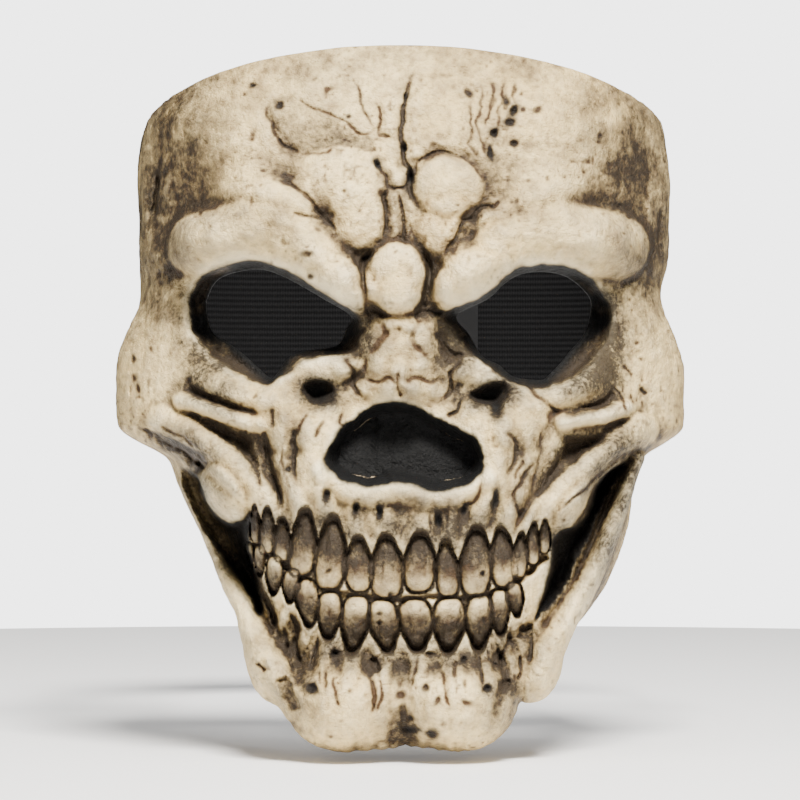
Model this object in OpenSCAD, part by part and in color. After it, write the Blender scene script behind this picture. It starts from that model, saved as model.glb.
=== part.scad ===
// Hollow latex skull mask for the face, with foam pads, temple rivets and an elastic head strap.
// +Z is up, the face looks along -Y, and the origin lies midway between the temples.

/* [Shell] */
// Half of the width between the temple walls
temple_half_w = 79; // [76:0.5:82]
// Depth from the rivet axis to the bare forehead
face_depth = 100; // [94:1:106]
// Height of the middle of the top rim
rim_top_z = 85; // [80:1:90]
// Height of the lowest point of the chin
chin_z = -123; // [-128:1:-118]
// Thickness of the latex wall
wall_t = 3; // [2.5:0.1:3.5]
// How far the side walls run behind the rivet axis
rear_y = 14; // [12:1:18]
// How far the cheek flares stand out from the side walls
flare_out = 10; // [6:1:12]

/* [Face holes] */
// Distance from the middle plane to the middle of an eye hole
eye_x = 36; // [34:0.5:38]
// Height of the middle of the eye holes
eye_z = 3; // [0:0.5:6]
// Width of an eye hole
eye_w = 43; // [38:1:44]
// Height of an eye hole without its tear notch
eye_h = 27; // [22:1:28]
// Height of the breathing holes
nostril_z = -41; // [-43:0.5:-39]

/* [Pads] */
// Thickness of the cheek and chin pads
pad_t = 10; // [6:1:12]
// Distance of the forehead pad's flat back from the rivet axis
forehead_rest_y = -80; // [-84:1:-76]

/* [Strap] */
// Height of the rivet axis and the strap
strap_z = 6; // [4:0.5:8]
// Width of the elastic
strap_w = 50; // [40:1:50]
// Thickness of the elastic and of the tabs
strap_t = 1.6; // [1.2:0.1:1.8]
// Distance from the rivet axis to the back of the strap
strap_back_y = 108; // [100:1:116]
// Half of the straight stretch at the back
strap_flat_x = 34; // [32:1:36]
// Radius of the rivet post
post_r = 2; // [1.8:0.1:2.2]
// Radial clearance of the eyelet on the post
eyelet_gap = 0.06; // [0.02:0.01:0.1]

/* [Hidden] */

left = -1;
right = 1;
$fn = 64;

// The shell's grid: columns from one rear edge round the face to the other, rows from hem to rim
columns = 48;
rows = 36;
// Share of each half that is rounded; the rest runs straight back from the rivet axis
round_share = 0.88;
// Power of the rounded part's outline: 2 is an ellipse, and more is squarer
squareness = 3;
// Drop of the rim, and rise of the hem, from the middle plane to the rear edge
rim_drop = 45;
hem_rise = 102;
// Share of each half along which the chin's hem stays level
chin_share = 0.29;
// Share of a raised feature that the inside of the wall follows
inside_follow = 0.8;

// [height, share of the temple width] of the side walls, hem to rim
WIDTH_AT = [
    [chin_z, 0.50], [-110, 0.57], [-100, 0.61], [-80, 0.74], [-60, 0.83], [-43, 0.88],
    [-33, 0.985], [-22, 1], [30, 1], [48, 1.01], [62, 0.985], [76, 0.93], [rim_top_z, 0.88]
];
// [height, share of the face depth] of the middle plane's outline without its features
DEPTH_AT = [
    [chin_z, 0.92], [-114, 1.03], [-100, 1.01], [-85, 1.05], [-60, 1.08], [-40, 1.06],
    [-15, 1.00], [0, 0.97], [20, 1.0], [42, 0.99], [62, 0.93], [76, 0.85], [rim_top_z, 0.78]
];
// [x, z, half width, half height, rise] of features on both sides of the face
PAIRED_FEATURES = [
    [63, 25, 20, 17, 11], [42, 24, 26, 14, 6], [17, 44, 19, 16, 5],
    [36, 3, 30, 23, -11], [27, -16, 16, 14, 3], [62, -24, 24, 15, 5], [52, -52, 17, 24, -7],
    [16, -112, 20, 17, 6], [12, -46, 14, 12, 5]
];
// The same, for features on the middle plane
MIDDLE_FEATURES = [
    [0, 14, 13, 13, 8], [0, -8, 15, 16, 7], [1, -22, 24, 10, 6], [1, -35, 26, 18, -10],
    [0, -64, 46, 14, 6], [0, -84, 42, 12, 6], [0, -74, 44, 5, -3], [0, -99, 34, 8, -4]
];
features = [
    each MIDDLE_FEATURES,
    for (f = PAIRED_FEATURES, side = [left, right]) [side * f[0], f[1], f[2], f[3], f[4]]
];

// Stack at a temple, from the outside in
patch_t = 1.2;
play = 0.3;
wall_in_x = temple_half_w - wall_t;
patch_in_x = wall_in_x - patch_t;
tab_out_x = patch_in_x - play;
tab_in_x = tab_out_x - strap_t;
elastic_x = tab_in_x - strap_t / 2;
washer_out_x = tab_in_x - play;
washer_t = 1.4;
rivet_head_r = 5;
rivet_head_t = 1.8;
washer_r = 5.5;
post_hole_r = post_r + 0.1;
eyelet_in_r = post_r + eyelet_gap;
eyelet_out_r = 4;
tab_end_r = 12;
tab_len = 38;
seam_len = 14;

// Strap ring, its two folds, and the slider
bar_r = 1.5;
ring_x = -8;
bar_x = 4;
ring_inner_h = strap_w + 2;
fold_r = bar_r + 0.2 + strap_t / 2;
bar_y = strap_back_y + fold_r;
corner_r = elastic_x - strap_flat_x;
corner_y = strap_back_y - corner_r;
side_start_y = tab_len - seam_len;
stitched_step = strap_t + 0.2;
tail_step = strap_t + 1;
tail_start_x = ring_x + bar_x + 9;
tail_angle = 62;
slider_w = 14;
slider_x = 19.5;
slider_play = 0.35;
slider_wall = 1.6;
slider_rail = 3.5;
slider_bar = 3;

// ---- Shell surface ----

function smooth_lookup(z, table) =
    (lookup(z - 4, table) + 2 * lookup(z, table) + lookup(z + 4, table)) / 4;
function smooth_step(s) = let (c = max(0, min(1, s))) c * c * (3 - 2 * c);
function dome(s) = pow(max(0, 1 - s * s), 2);
function feature_rise(x, z) = [
    for (f = features) f[4] * dome(norm([(x - f[0]) / f[2], (z - f[1]) / f[3]]))
];
function total(v, i = 0) = i < len(v) ? v[i] + total(v, i + 1) : 0;
function flare(y, z) = flare_out * dome((y + 50) / 38) * dome((z + 14) / 30);

// Height of the hem and the rim at share u of a half, from 0 at the middle to 1 at the rear edge
hem_z = function (u) chin_z + hem_rise * smooth_step((abs(u) - chin_share) / (1 - chin_share));
rim_z = function (u) rim_top_z - rim_drop * u * u;
level = function (z) function (u) z;

// A point of the wall: u from -1 to 1 round the face, at height z, depth below the outer face.
// raised is false for a face that leaves the features out.
function shell_point(u, z, depth, raised = true) =
    let (
        share = abs(u),
        turn = 90 * min(1, share / round_share),
        reach = pow(pow(sin(turn), squareness) + pow(cos(turn), squareness), -1 / squareness),
        side_x = temple_half_w * smooth_lookup(z, WIDTH_AT) - depth,
        front_y = face_depth * smooth_lookup(z, DEPTH_AT) - depth,
        back = rear_y * max(0, (share - round_share) / (1 - round_share)),
        x = side_x * reach * sin(turn),
        y = back - front_y * reach * cos(turn),
        rise = raised ? total(feature_rise(sign(u) * x, z)) : 0,
        follow = depth > 0 ? inside_follow : 1
    )
    [
        sign(u) * (x + flare(y, z)),
        y - (rise > 0 ? follow * rise : rise) * cos(turn),
        z
    ];

// A closed sheet between two depths of the wall, over a span of u and between two heights,
// which are functions of u
module wall_sheet(u_span, low, high, depths, cols, lines, raised_back = true) {
    function at(i, j, depth, raised) =
        let (
            u = u_span[0] + (u_span[1] - u_span[0]) * i / cols,
            z = low(u) + (high(u) - low(u)) * j / lines
        )
        shell_point(u, z, depth, raised);
    count = (cols + 1) * (lines + 1);
    function id(i, j, side) = side * count + i * (lines + 1) + j;
    points = [
        for (i = [0:cols], j = [0:lines]) at(i, j, depths[0], true),
        for (i = [0:cols], j = [0:lines]) at(i, j, depths[1], raised_back)
    ];
    faces = [
        for (i = [0:cols - 1], j = [0:lines - 1]) each [
            [id(i, j, 0), id(i, j + 1, 0), id(i + 1, j + 1, 0)],
            [id(i, j, 0), id(i + 1, j + 1, 0), id(i + 1, j, 0)],
            [id(i, j, 1), id(i + 1, j + 1, 1), id(i, j + 1, 1)],
            [id(i, j, 1), id(i + 1, j, 1), id(i + 1, j + 1, 1)]
        ],
        for (i = [0:cols - 1]) each [
            [id(i, 0, 0), id(i + 1, 0, 0), id(i + 1, 0, 1)],
            [id(i, 0, 0), id(i + 1, 0, 1), id(i, 0, 1)],
            [id(i, lines, 0), id(i + 1, lines, 1), id(i + 1, lines, 0)],
            [id(i, lines, 0), id(i, lines, 1), id(i + 1, lines, 1)]
        ],
        for (j = [0:lines - 1]) each [
            [id(0, j, 0), id(0, j + 1, 1), id(0, j + 1, 0)],
            [id(0, j, 0), id(0, j, 1), id(0, j + 1, 1)],
            [id(cols, j, 0), id(cols, j + 1, 0), id(cols, j + 1, 1)],
            [id(cols, j, 0), id(cols, j + 1, 1), id(cols, j, 1)]
        ]
    ];
    polyhedron(points, faces, convexity = 8);
}

// ---- Holes of the face ----

eye_points = 40;
notch_depth = 8;
notch_angle = -96;
notch_spread = 24;

// Distance from an eye hole's middle to its edge; the notch opens towards the nose
function eye_edge(angle) =
    let (notch = exp(-pow((angle - notch_angle) / notch_spread, 2)))
    [
        -eye_w / 2 * cos(angle) + notch_depth * notch * -cos(angle),
        eye_h / 2 * sin(angle) + notch_depth * notch * sin(angle)
    ];

module eye_hole(side) {
    translate([side * eye_x, -60, eye_z])
        rotate([90, 0, 0])
            linear_extrude(height = 70)
                polygon([
                    for (k = [0:eye_points - 1])
                        let (edge = eye_edge(180 - 360 * k / eye_points))
                        [side * edge[0], edge[1]]
                ]);
}

module nostril(x, half_w, r) {
    translate([x, -75, nostril_z])
        rotate([90, 0, 0])
            linear_extrude(height = 60)
                hull() {
                    translate([-half_w + r, 0]) circle(r = r, $fn = 24);
                    translate([half_w - r, 0]) circle(r = r, $fn = 24);
                }
}

// A cylinder along X at a temple, between two distances from the middle plane
module temple_rod(side, from_x, to_x, r) {
    translate([side * from_x, 0, strap_z])
        rotate([0, side * 90, 0])
            cylinder(r = r, h = to_x - from_x);
}

// ---- Parts of the mask ----

module face_shell() {
    color("cornsilk")
        difference() {
            wall_sheet([-1, 1], hem_z, rim_z, [0, wall_t], columns, rows);
            eye_hole(left);
            eye_hole(right);
            nostril(-10.5, 4.2, 2.6);
            nostril(15.5, 3.4, 2.3);
            temple_rod(left, wall_in_x - 5, temple_half_w + 5, post_hole_r);
            temple_rod(right, wall_in_x - 5, temple_half_w + 5, post_hole_r);
        }
}

glue_gap = 0.8;
pad_face = wall_t + glue_gap;

module forehead_pad() {
    color("dimgray")
        difference() {
            wall_sheet([-0.36, 0.36], level(42), level(68), [pad_face, pad_face + 26], 14, 6, false);
            translate([-100, forehead_rest_y, 0]) cube([200, 60, 100]);
        }
}

module cheek_pad(side) {
    color("dimgray")
        wall_sheet(side > 0 ? [0.48, 0.68] : [-0.68, -0.48], level(-50), level(-22),
            [pad_face, pad_face + pad_t], 12, 12, false);
}

module chin_pad() {
    color("dimgray")
        wall_sheet([-0.24, 0.24], level(-116), level(-94), [pad_face, pad_face + pad_t], 16, 8, false);
}

module temple_patch(side) {
    color("khaki")
        difference() {
            translate([side * (patch_in_x + patch_t / 2), 0, strap_z])
                rotate([90, 0, 90])
                    linear_extrude(height = patch_t - 0.1, center = true)
                        square([22, 28], center = true);
            temple_rod(side, patch_in_x - 1, wall_in_x + 1, post_hole_r);
        }
}

module rivet(side) {
    head_x = temple_half_w + 0.1;
    color("silver")
        union() {
            temple_rod(side, washer_out_x - washer_t, head_x + 0.2, post_r);
            translate([side * head_x, 0, strap_z])
                rotate([0, side * 90, 0])
                    rotate_extrude()
                        polygon([
                            [0, 0],
                            [rivet_head_r, 0],
                            for (k = [0:6])
                                let (angle = 90 * k / 6)
                                [
                                    rivet_head_r - rivet_head_t * (1 - cos(angle)),
                                    rivet_head_t * (0.25 + 0.75 * sin(angle))
                                ],
                            [0, rivet_head_t]
                        ]);
        }
}

module rivet_washer(side) {
    color("silver")
        difference() {
            temple_rod(side, washer_out_x - washer_t, washer_out_x, washer_r);
            temple_rod(side, washer_out_x - washer_t - 1, washer_out_x + 1, post_r);
        }
}

// ---- Parts of the strap ----

module tab_outline() {
    hull() {
        circle(r = tab_end_r);
        translate([tab_len - 4, 0]) square([8, strap_w], center = true);
    }
}

module strap_tab(side) {
    color("dimgray")
        difference() {
            translate([side * (tab_in_x + strap_t / 2), 0, strap_z])
                rotate([90, 0, 90])
                    linear_extrude(height = strap_t, center = true)
                        tab_outline();
            temple_rod(side, tab_in_x - 1, tab_out_x + 1, eyelet_out_r);
        }
}

module eyelet(side) {
    color("gold")
        difference() {
            temple_rod(side, tab_in_x - 0.2, tab_out_x + 0.2, eyelet_out_r);
            temple_rod(side, tab_in_x - 1, tab_out_x + 1, eyelet_in_r);
        }
}

// Points of an arc, both ends included
function arc(centre, r, from, to, steps) = [
    for (k = [0:steps])
        let (angle = from + (to - from) * k / steps)
        centre + r * [cos(angle), sin(angle)]
];

// Unit normal of a route at point k, to the left of its direction
function route_normal(route, k) =
    let (
        a = route[max(0, k - 1)],
        b = route[min(len(route) - 1, k + 1)],
        d = (b - a) / norm(b - a)
    )
    [-d[1], d[0]];

// A band standing on edge along a route
module band(route, t = strap_t, h = strap_w) {
    n = len(route) - 1;
    translate([0, 0, strap_z])
        linear_extrude(height = h, center = true, convexity = 8)
            polygon([
                for (k = [0:n]) route[k] + route_normal(route, k) * t / 2,
                for (k = [n:-1:0]) route[k] - route_normal(route, k) * t / 2
            ]);
}

// The strap's corner behind the head, at a distance outside the inner layer
function corner(side, step, from, to, steps) = [
    for (p = arc([strap_flat_x, corner_y], corner_r + step, from, to, steps)) [side * p[0], p[1]]
];

// A half turn round one of the ring's bars, from the inner layer to the outer one
function fold(x, side) = [
    for (p = arc([0, bar_y], fold_r, -90, 90, 10)) [x + side * p[0], p[1]]
];

module elastic_left() {
    color("black")
        band(concat(
            [[-elastic_x, side_start_y]],
            corner(left, 0, 0, 90, 16),
            fold(ring_x - bar_x, right),
            corner(left, stitched_step, 84, 58, 6)
        ));
}

module elastic_right() {
    color("black")
        band(concat(
            [[elastic_x, side_start_y]],
            corner(right, 0, 0, 90, 16),
            fold(ring_x + bar_x, left),
            [[tail_start_x, strap_back_y + tail_step]],
            corner(right, tail_step, 90, tail_angle, 6)
        ));
}

module strap_ring() {
    rail_z = ring_inner_h / 2 + bar_r;
    color("dimgray")
        translate([ring_x, bar_y, strap_z])
            union() {
                for (side = [left, right]) {
                    translate([side * bar_x, 0, -rail_z]) cylinder(r = bar_r, h = 2 * rail_z);
                    translate([-bar_x, 0, side * rail_z])
                        rotate([0, 90, 0])
                            cylinder(r = bar_r, h = 2 * bar_x);
                    for (end = [left, right])
                        translate([side * bar_x, 0, end * rail_z]) sphere(r = bar_r);
                }
            }
}

module strap_slider() {
    slot_in_y = strap_back_y - strap_t / 2 - slider_play;
    slot_out_y = strap_back_y + tail_step + strap_t / 2 + slider_play;
    slot_h = strap_w + 2 * slider_play;
    frame_h = slot_h + 2 * slider_rail;
    window_w = (slider_w - 3 * slider_bar) / 2;
    window_x = (slider_bar + window_w) / 2;
    color("dimgray")
        translate([slider_x, 0, strap_z])
            difference() {
                translate([-slider_w / 2, slot_in_y - slider_wall, -frame_h / 2])
                    cube([slider_w, slot_out_y - slot_in_y + 2 * slider_wall, frame_h]);
                translate([-slider_w, slot_in_y, -slot_h / 2])
                    cube([2 * slider_w, slot_out_y - slot_in_y, slot_h]);
                for (side = [left, right])
                    translate([side * window_x - window_w / 2, slot_out_y - 1, -slot_h / 2 + 2])
                        cube([window_w, slider_wall + 2, slot_h - 4]);
            }
}

face_shell();
forehead_pad();
cheek_pad(left);  // cheek_pad_left
cheek_pad(right);  // cheek_pad_right
chin_pad();
temple_patch(left);  // temple_patch_left
temple_patch(right);  // temple_patch_right
rivet(left);  // rivet_left
rivet(right);  // rivet_right
rivet_washer(left);  // rivet_washer_left
rivet_washer(right);  // rivet_washer_right
strap_tab(left);  // strap_tab_left
strap_tab(right);  // strap_tab_right
eyelet(left);  // eyelet_left
eyelet(right);  // eyelet_right
elastic_left();
elastic_right();
strap_ring();
strap_slider();
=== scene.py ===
import math

import bmesh
import bpy
import numpy as np
import openvdb
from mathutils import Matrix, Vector


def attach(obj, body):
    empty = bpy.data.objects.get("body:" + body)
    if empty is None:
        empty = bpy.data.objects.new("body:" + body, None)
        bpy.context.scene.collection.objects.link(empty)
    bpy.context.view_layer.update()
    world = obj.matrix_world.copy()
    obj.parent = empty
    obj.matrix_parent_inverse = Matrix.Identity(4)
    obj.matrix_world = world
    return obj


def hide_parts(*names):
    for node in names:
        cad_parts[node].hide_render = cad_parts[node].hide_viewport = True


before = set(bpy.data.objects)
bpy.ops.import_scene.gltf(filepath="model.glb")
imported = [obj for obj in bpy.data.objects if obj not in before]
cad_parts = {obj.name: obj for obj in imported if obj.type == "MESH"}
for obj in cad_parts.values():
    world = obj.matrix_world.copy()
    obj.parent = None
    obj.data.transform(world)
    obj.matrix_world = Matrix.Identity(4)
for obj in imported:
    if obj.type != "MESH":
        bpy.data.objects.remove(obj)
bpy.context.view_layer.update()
MM = 0.001

# ---------------------------------------------------------------- the sculpted relief, in mm
# The face is sculpted as a map of how far the latex stands proud of a smooth base form, seen
# from the front: x to the right, z up. Paint, painted shade and painted highlight are laid down in maps on
# the same grid.

MAP_STEP = 0.3
MAP_X = np.arange(-96, 96 + MAP_STEP, MAP_STEP)
MAP_Z = np.arange(-132, 94 + MAP_STEP, MAP_STEP)
GX, GZ = np.meshgrid(MAP_X, MAP_Z, indexing="ij")

rise = np.zeros(GX.shape)       # mm proud of the base form
wash_and_shade = np.zeros(GX.shape)       # brown wash in cracks, and painted shade in the hollows, 0 to 1
airbrush_and_shade = np.zeros(GX.shape)       # grey-black airbrush, and painted shade in recesses, 0 to 1
black = np.zeros(GX.shape)      # black paint, 0 to 1


def lattice_noise(x, z, seed):
    """Smooth value noise from -1 to 1 with features about one unit across."""
    table = np.random.default_rng(seed).uniform(-1, 1, (256, 256))
    xi = np.floor(x).astype(int)
    zi = np.floor(z).astype(int)
    fx = x - xi
    fz = z - zi
    fx = fx * fx * (3 - 2 * fx)
    fz = fz * fz * (3 - 2 * fz)
    a = table[xi % 256, zi % 256]
    b = table[(xi + 1) % 256, zi % 256]
    c = table[xi % 256, (zi + 1) % 256]
    d = table[(xi + 1) % 256, (zi + 1) % 256]
    return (a * (1 - fx) + b * fx) * (1 - fz) + (c * (1 - fx) + d * fx) * fz


def fractal(x, z, size, octaves, seed):
    """Sum of noises, the largest features about size mm across."""
    total = np.zeros(np.shape(x))
    weight = 1.0
    for octave in range(octaves):
        total += weight * lattice_noise(x / size + 37 * octave, z / size + 11 * octave, seed + octave)
        size *= 0.5
        weight *= 0.5
    return total


WARP_X = GX + 0.45 * fractal(GX, GZ, 3.2, 3, 11)
WARP_Z = GZ + 0.45 * fractal(GX, GZ, 3.2, 3, 23)


def smooth_step(t):
    t = np.clip(t, 0, 1)
    return t * t * (3 - 2 * t)


def blur(field, radius):
    """Three box blurs, close to a Gaussian blur; radius in mm."""
    n = max(1, int(round(radius / MAP_STEP)))
    for axis in (0, 1):
        for _ in range(3):
            pad = [(0, 0), (0, 0)]
            pad[axis] = (n + 1, n)
            total = np.cumsum(np.pad(field, pad, mode="edge"), axis=axis)
            upper = [slice(None), slice(None)]
            lower = [slice(None), slice(None)]
            upper[axis] = slice(2 * n + 1, None)
            lower[axis] = slice(0, -2 * n - 1)
            field = (total[tuple(upper)] - total[tuple(lower)]) / (2 * n + 1)
    return field


def window(points, reach):
    """The slice of the maps within reach of some points."""
    points = np.asarray(points, float)
    low = points.min(axis=0) - reach
    high = points.max(axis=0) + reach
    ix = np.searchsorted(MAP_X, [low[0], high[0]])
    iz = np.searchsorted(MAP_Z, [low[1], high[1]])
    return slice(ix[0], ix[1]), slice(iz[0], iz[1])


def rounded(q, power):
    """1 in the middle and 0 from q = 1 out; a power of 0.5 is a ball, 2 a soft swell."""
    return np.maximum(0, 1 - q * q) ** power


def paint(layer, part, strength, mask):
    layer[part] = np.maximum(layer[part], strength * mask)


def swell(x, z, rx, rz, height, power=2.0, turn=0.0):
    """Adds (or with a negative height, takes away) an oval swelling."""
    reach = max(rx, rz)
    part = window([(x, z)], reach)
    c = math.cos(math.radians(turn))
    s = math.sin(math.radians(turn))
    dx = GX[part] - x
    dz = GZ[part] - z
    q = np.hypot((dx * c + dz * s) / rx, (dz * c - dx * s) / rz)
    rise[part] += height * rounded(q, power)


def pit(x, z, rx, rz, depth, turn=0.0, ink=1.0, dark=0.0):
    """A small hole with ragged edges and wash in it."""
    part = window([(x, z)], 2.5 * max(rx, rz) + 2)
    c = math.cos(math.radians(turn))
    s = math.sin(math.radians(turn))
    dx = WARP_X[part] - x
    dz = WARP_Z[part] - z
    q = np.hypot((dx * c + dz * s) / rx, (dz * c - dx * s) / rz)
    rise[part] -= depth * rounded(q, 1.0)
    paint(wash_and_shade, part, ink, rounded(q / 1.5, 1.0))
    if dark:
        paint(black, part, dark, rounded(q / 1.1, 0.6))
        paint(airbrush_and_shade, part, dark, rounded(q / 2.2, 1.5))


def along(points, radii, part, x=None, z=None):
    """Distance to a line through points over its local radius, and how far along it is, 0 to 1."""
    px = (GX if x is None else x)[part]
    pz = (GZ if z is None else z)[part]
    radii = np.broadcast_to(np.asarray(radii, float), (len(points),))
    best = np.full(px.shape, 1e9)
    place = np.zeros(px.shape)
    last = len(points) - 1
    for k in range(last):
        (ax, az), (bx, bz) = points[k], points[k + 1]
        ex, ez = bx - ax, bz - az
        t = np.clip(((px - ax) * ex + (pz - az) * ez) / (ex * ex + ez * ez), 0, 1)
        q = np.hypot(px - ax - t * ex, pz - az - t * ez) / (radii[k] + t * (radii[k + 1] - radii[k]))
        closer = q < best
        best[closer] = q[closer]
        place[closer] = ((k + t) / last)[closer]
    return best, place


def curve(points, closed=False, steps=6):
    """Catmull-Rom curve through a few points."""
    p = np.asarray(points, float)
    n = len(p)
    out = []
    for k in range(n if closed else n - 1):
        a, b, c, d = (
            p[(k + j - 1) % n] if closed else p[min(max(k + j - 1, 0), n - 1)] for j in range(4)
        )
        for t in np.arange(steps) / steps:
            out.append(
                0.5 * (2 * b + (c - a) * t + (2 * a - 5 * b + 4 * c - d) * t**2
                       + (3 * b - a - 3 * c + d) * t**3)
            )
    if not closed:
        out.append(p[-1])
    return np.array(out)


def rod(points, radii, heights, power=0.7):
    """A rounded bar of bone along a line, its radius and height given at each point."""
    heights = np.broadcast_to(np.asarray(heights, float), (len(points),))
    part = window(points, np.max(radii))
    q, place = along(points, radii, part)
    height = np.interp(place * (len(points) - 1), np.arange(len(points)), heights)
    rise[part] += height * rounded(q, power)


def crack(points, width=0.5, depth=0.8, ink=1.0, dark=0.0, ragged=1.0):
    """An engraved line that thins towards its ends, with wash in it."""
    line = curve(points)
    part = window(line, 6 * width + 1)
    x = GX + ragged * (WARP_X - GX)
    z = GZ + ragged * (WARP_Z - GZ)
    q, place = along(line, width, part, x, z)
    fade = np.clip(6 * np.minimum(place, 1 - place), 0.25, 1)
    rise[part] -= depth * fade * rounded(q, 0.8)
    rise[part] += 0.22 * depth * fade * (rounded(q / 2.6, 2) - rounded(q / 1.3, 2))
    paint(wash_and_shade, part, ink, fade * rounded(q / 1.25, 0.7))
    paint(wash_and_shade, part, 0.35 * ink, fade * rounded(q / 3.0, 1.5))
    if dark:
        paint(airbrush_and_shade, part, dark, fade * rounded(q / 2.2, 1.0))


def outline_distance(outline, part, x=None, z=None):
    """Signed distance to a closed outline, negative inside."""
    px = (GX if x is None else x)[part]
    pz = (GZ if z is None else z)[part]
    ring = np.vstack([outline, outline[:1]])
    distance, _ = along([tuple(p) for p in ring], 1.0, part, x, z)
    inside = np.zeros(px.shape, bool)
    for (ax, az), (bx, bz) in zip(ring[:-1], ring[1:]):
        if az == bz:
            continue
        crosses = (az > pz) != (bz > pz)
        inside ^= crosses & (px < (bx - ax) * (pz - az) / (bz - az) + ax)
    return np.where(inside, -distance, distance)


def hollow(points, floor, soft, keep=0.0, airbrush_and_shade_amount=0.0, inky=0.0, airbrush_and_shade_edge=2.0):
    """Sinks the area inside an outline to a floor, over a soft edge that lies inside it."""
    outline = curve(points, closed=True)
    part = window(outline, soft + 8)
    d = outline_distance(outline, part, WARP_X, WARP_Z)
    mask = smooth_step(-d / soft)
    rise[part] += mask * (1 - keep) * (floor - rise[part])
    if airbrush_and_shade_amount:
        paint(airbrush_and_shade, part, airbrush_and_shade_amount, smooth_step((airbrush_and_shade_edge - d) / (airbrush_and_shade_edge + soft)))
    if inky:
        paint(black, part, inky, smooth_step(-d / 1.2 + 0.3))

# ---- Large forms

# Swellings: x, z, half width, half height, rise, power, turn
MASSES = [
    (0, 62, 60, 26, 1.5, 2, 0),          # crown of the forehead
    (-19, 44, 15, 11, 4.0, 1.2, 14),     # left forehead lobe
    (-12.5, 33, 9, 11, 3.8, 0.9, 12),    # left lower forehead lobe
    (-33, 37, 12, 8, 3.6, 1.2, -24),     # left middle lobe
    (-24, 26, 8, 8, 3.0, 1.0, -35),      # lobe above the left brow
    (14.5, 42, 10.5, 9.5, 5.0, 0.75, 0),  # right round lobe
    (13, 29, 8.5, 10, 3.2, 1.0, -15),    # right lower lobe
    (27, 31, 8, 9, 2.6, 1.0, 30),        # lobe above the right brow
    (-45, 42, 13, 10, 2.6, 1.6, 0),      # left outer brow swelling
    (-37, 34, 21, 12, 4.0, 2, -20),      # slopes above the brows
    (38, 34, 21, 12, 4.0, 2, 20),
    (43, 43, 15, 12, 3.0, 1.8, 0),       # right outer brow swelling
    (-50, 60, 24, 20, 1.5, 2, 0),
    (48, 62, 24, 20, 2.0, 2, 0),
    (-66, 44, 20, 25, -3.2, 2, 10),      # left temple hollow
    (70, 42, 19, 25, -3.6, 2, -10),      # right temple hollow
    (-38, 0, 34, 27, -3.0, 2, 0),        # left eye socket
    (39, -1, 34, 27, -3.0, 2, 0),        # right eye socket
    (0, -6, 14, 22, 6.5, 1.6, 0),        # nasal bridge
    (-6, -5, 6.5, 6, 2.2, 1.2, 0),       # left bridge bump
    (6, -3.5, 6.5, 6, 2.4, 1.2, 0),      # right bridge bump
    (0, -17, 13, 8, 3.5, 1.4, 0),        # bone above the nose opening
    (-22, -11, 11, 6, 4.0, 1.2, 10),     # rim above the left cheek hole
    (24, -13, 11, 5.5, 4.0, 1.2, -20),   # rim above the right cheek hole
    (-34, -24, 9, 13, 5.5, 1.0, 5),      # left cheek lobe
    (35, -25, 9, 11, 5.5, 1.0, -20),     # right cheek lobe
    (-24, -34, 8, 16, 4.5, 1.2, -12),    # left side of the nose
    (27, -34, 8, 15, 4.5, 1.2, 12),      # right side of the nose
    (-22, -27, 7, 8, 2.0, 1.2, 0),
    (22, -27, 7, 8, 2.0, 1.2, 0),
    (0, -52, 46, 18, 3.5, 2, 0),         # upper jaw
    (-27, -47, 13, 12, 2.5, 2, 0),
    (27, -47, 13, 12, 2.5, 2, 0),
    (0, -75, 48, 28, 4.5, 2, 0),         # row of teeth
    (0, -98, 36, 8, -2.0, 2, 0),         # crease above the chin
    (-16, -109, 19, 15, 6.0, 1.4, 15),   # left chin lobe
    (16, -109, 19, 15, 6.0, 1.4, -15),   # right chin lobe
    (1, -117, 6, 10, -1.6, 1.4, 0),      # cleft of the chin
    (-38, -101, 9, 11, 3.0, 1.4, 15),    # left jaw corner
    (40, -99, 9, 13, 3.0, 1.4, -15),     # right jaw corner
    (-75, -8, 17, 26, 3.0, 1.6, 0),      # left cheek plate
    (75, -8, 17, 26, 3.0, 1.6, 0),       # right cheek plate
    (-52, -16, 14, 8, 3.0, 1.4, -20),    # shelf below the left socket
    (52, -15, 14, 9, 3.0, 1.4, 20),      # shelf below the right socket
    (-54, -62, 16, 30, -3.5, 2, 25),     # sunken side of the left jaw
    (56, -62, 16, 30, -3.5, 2, -25),     # sunken side of the right jaw
]

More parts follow.
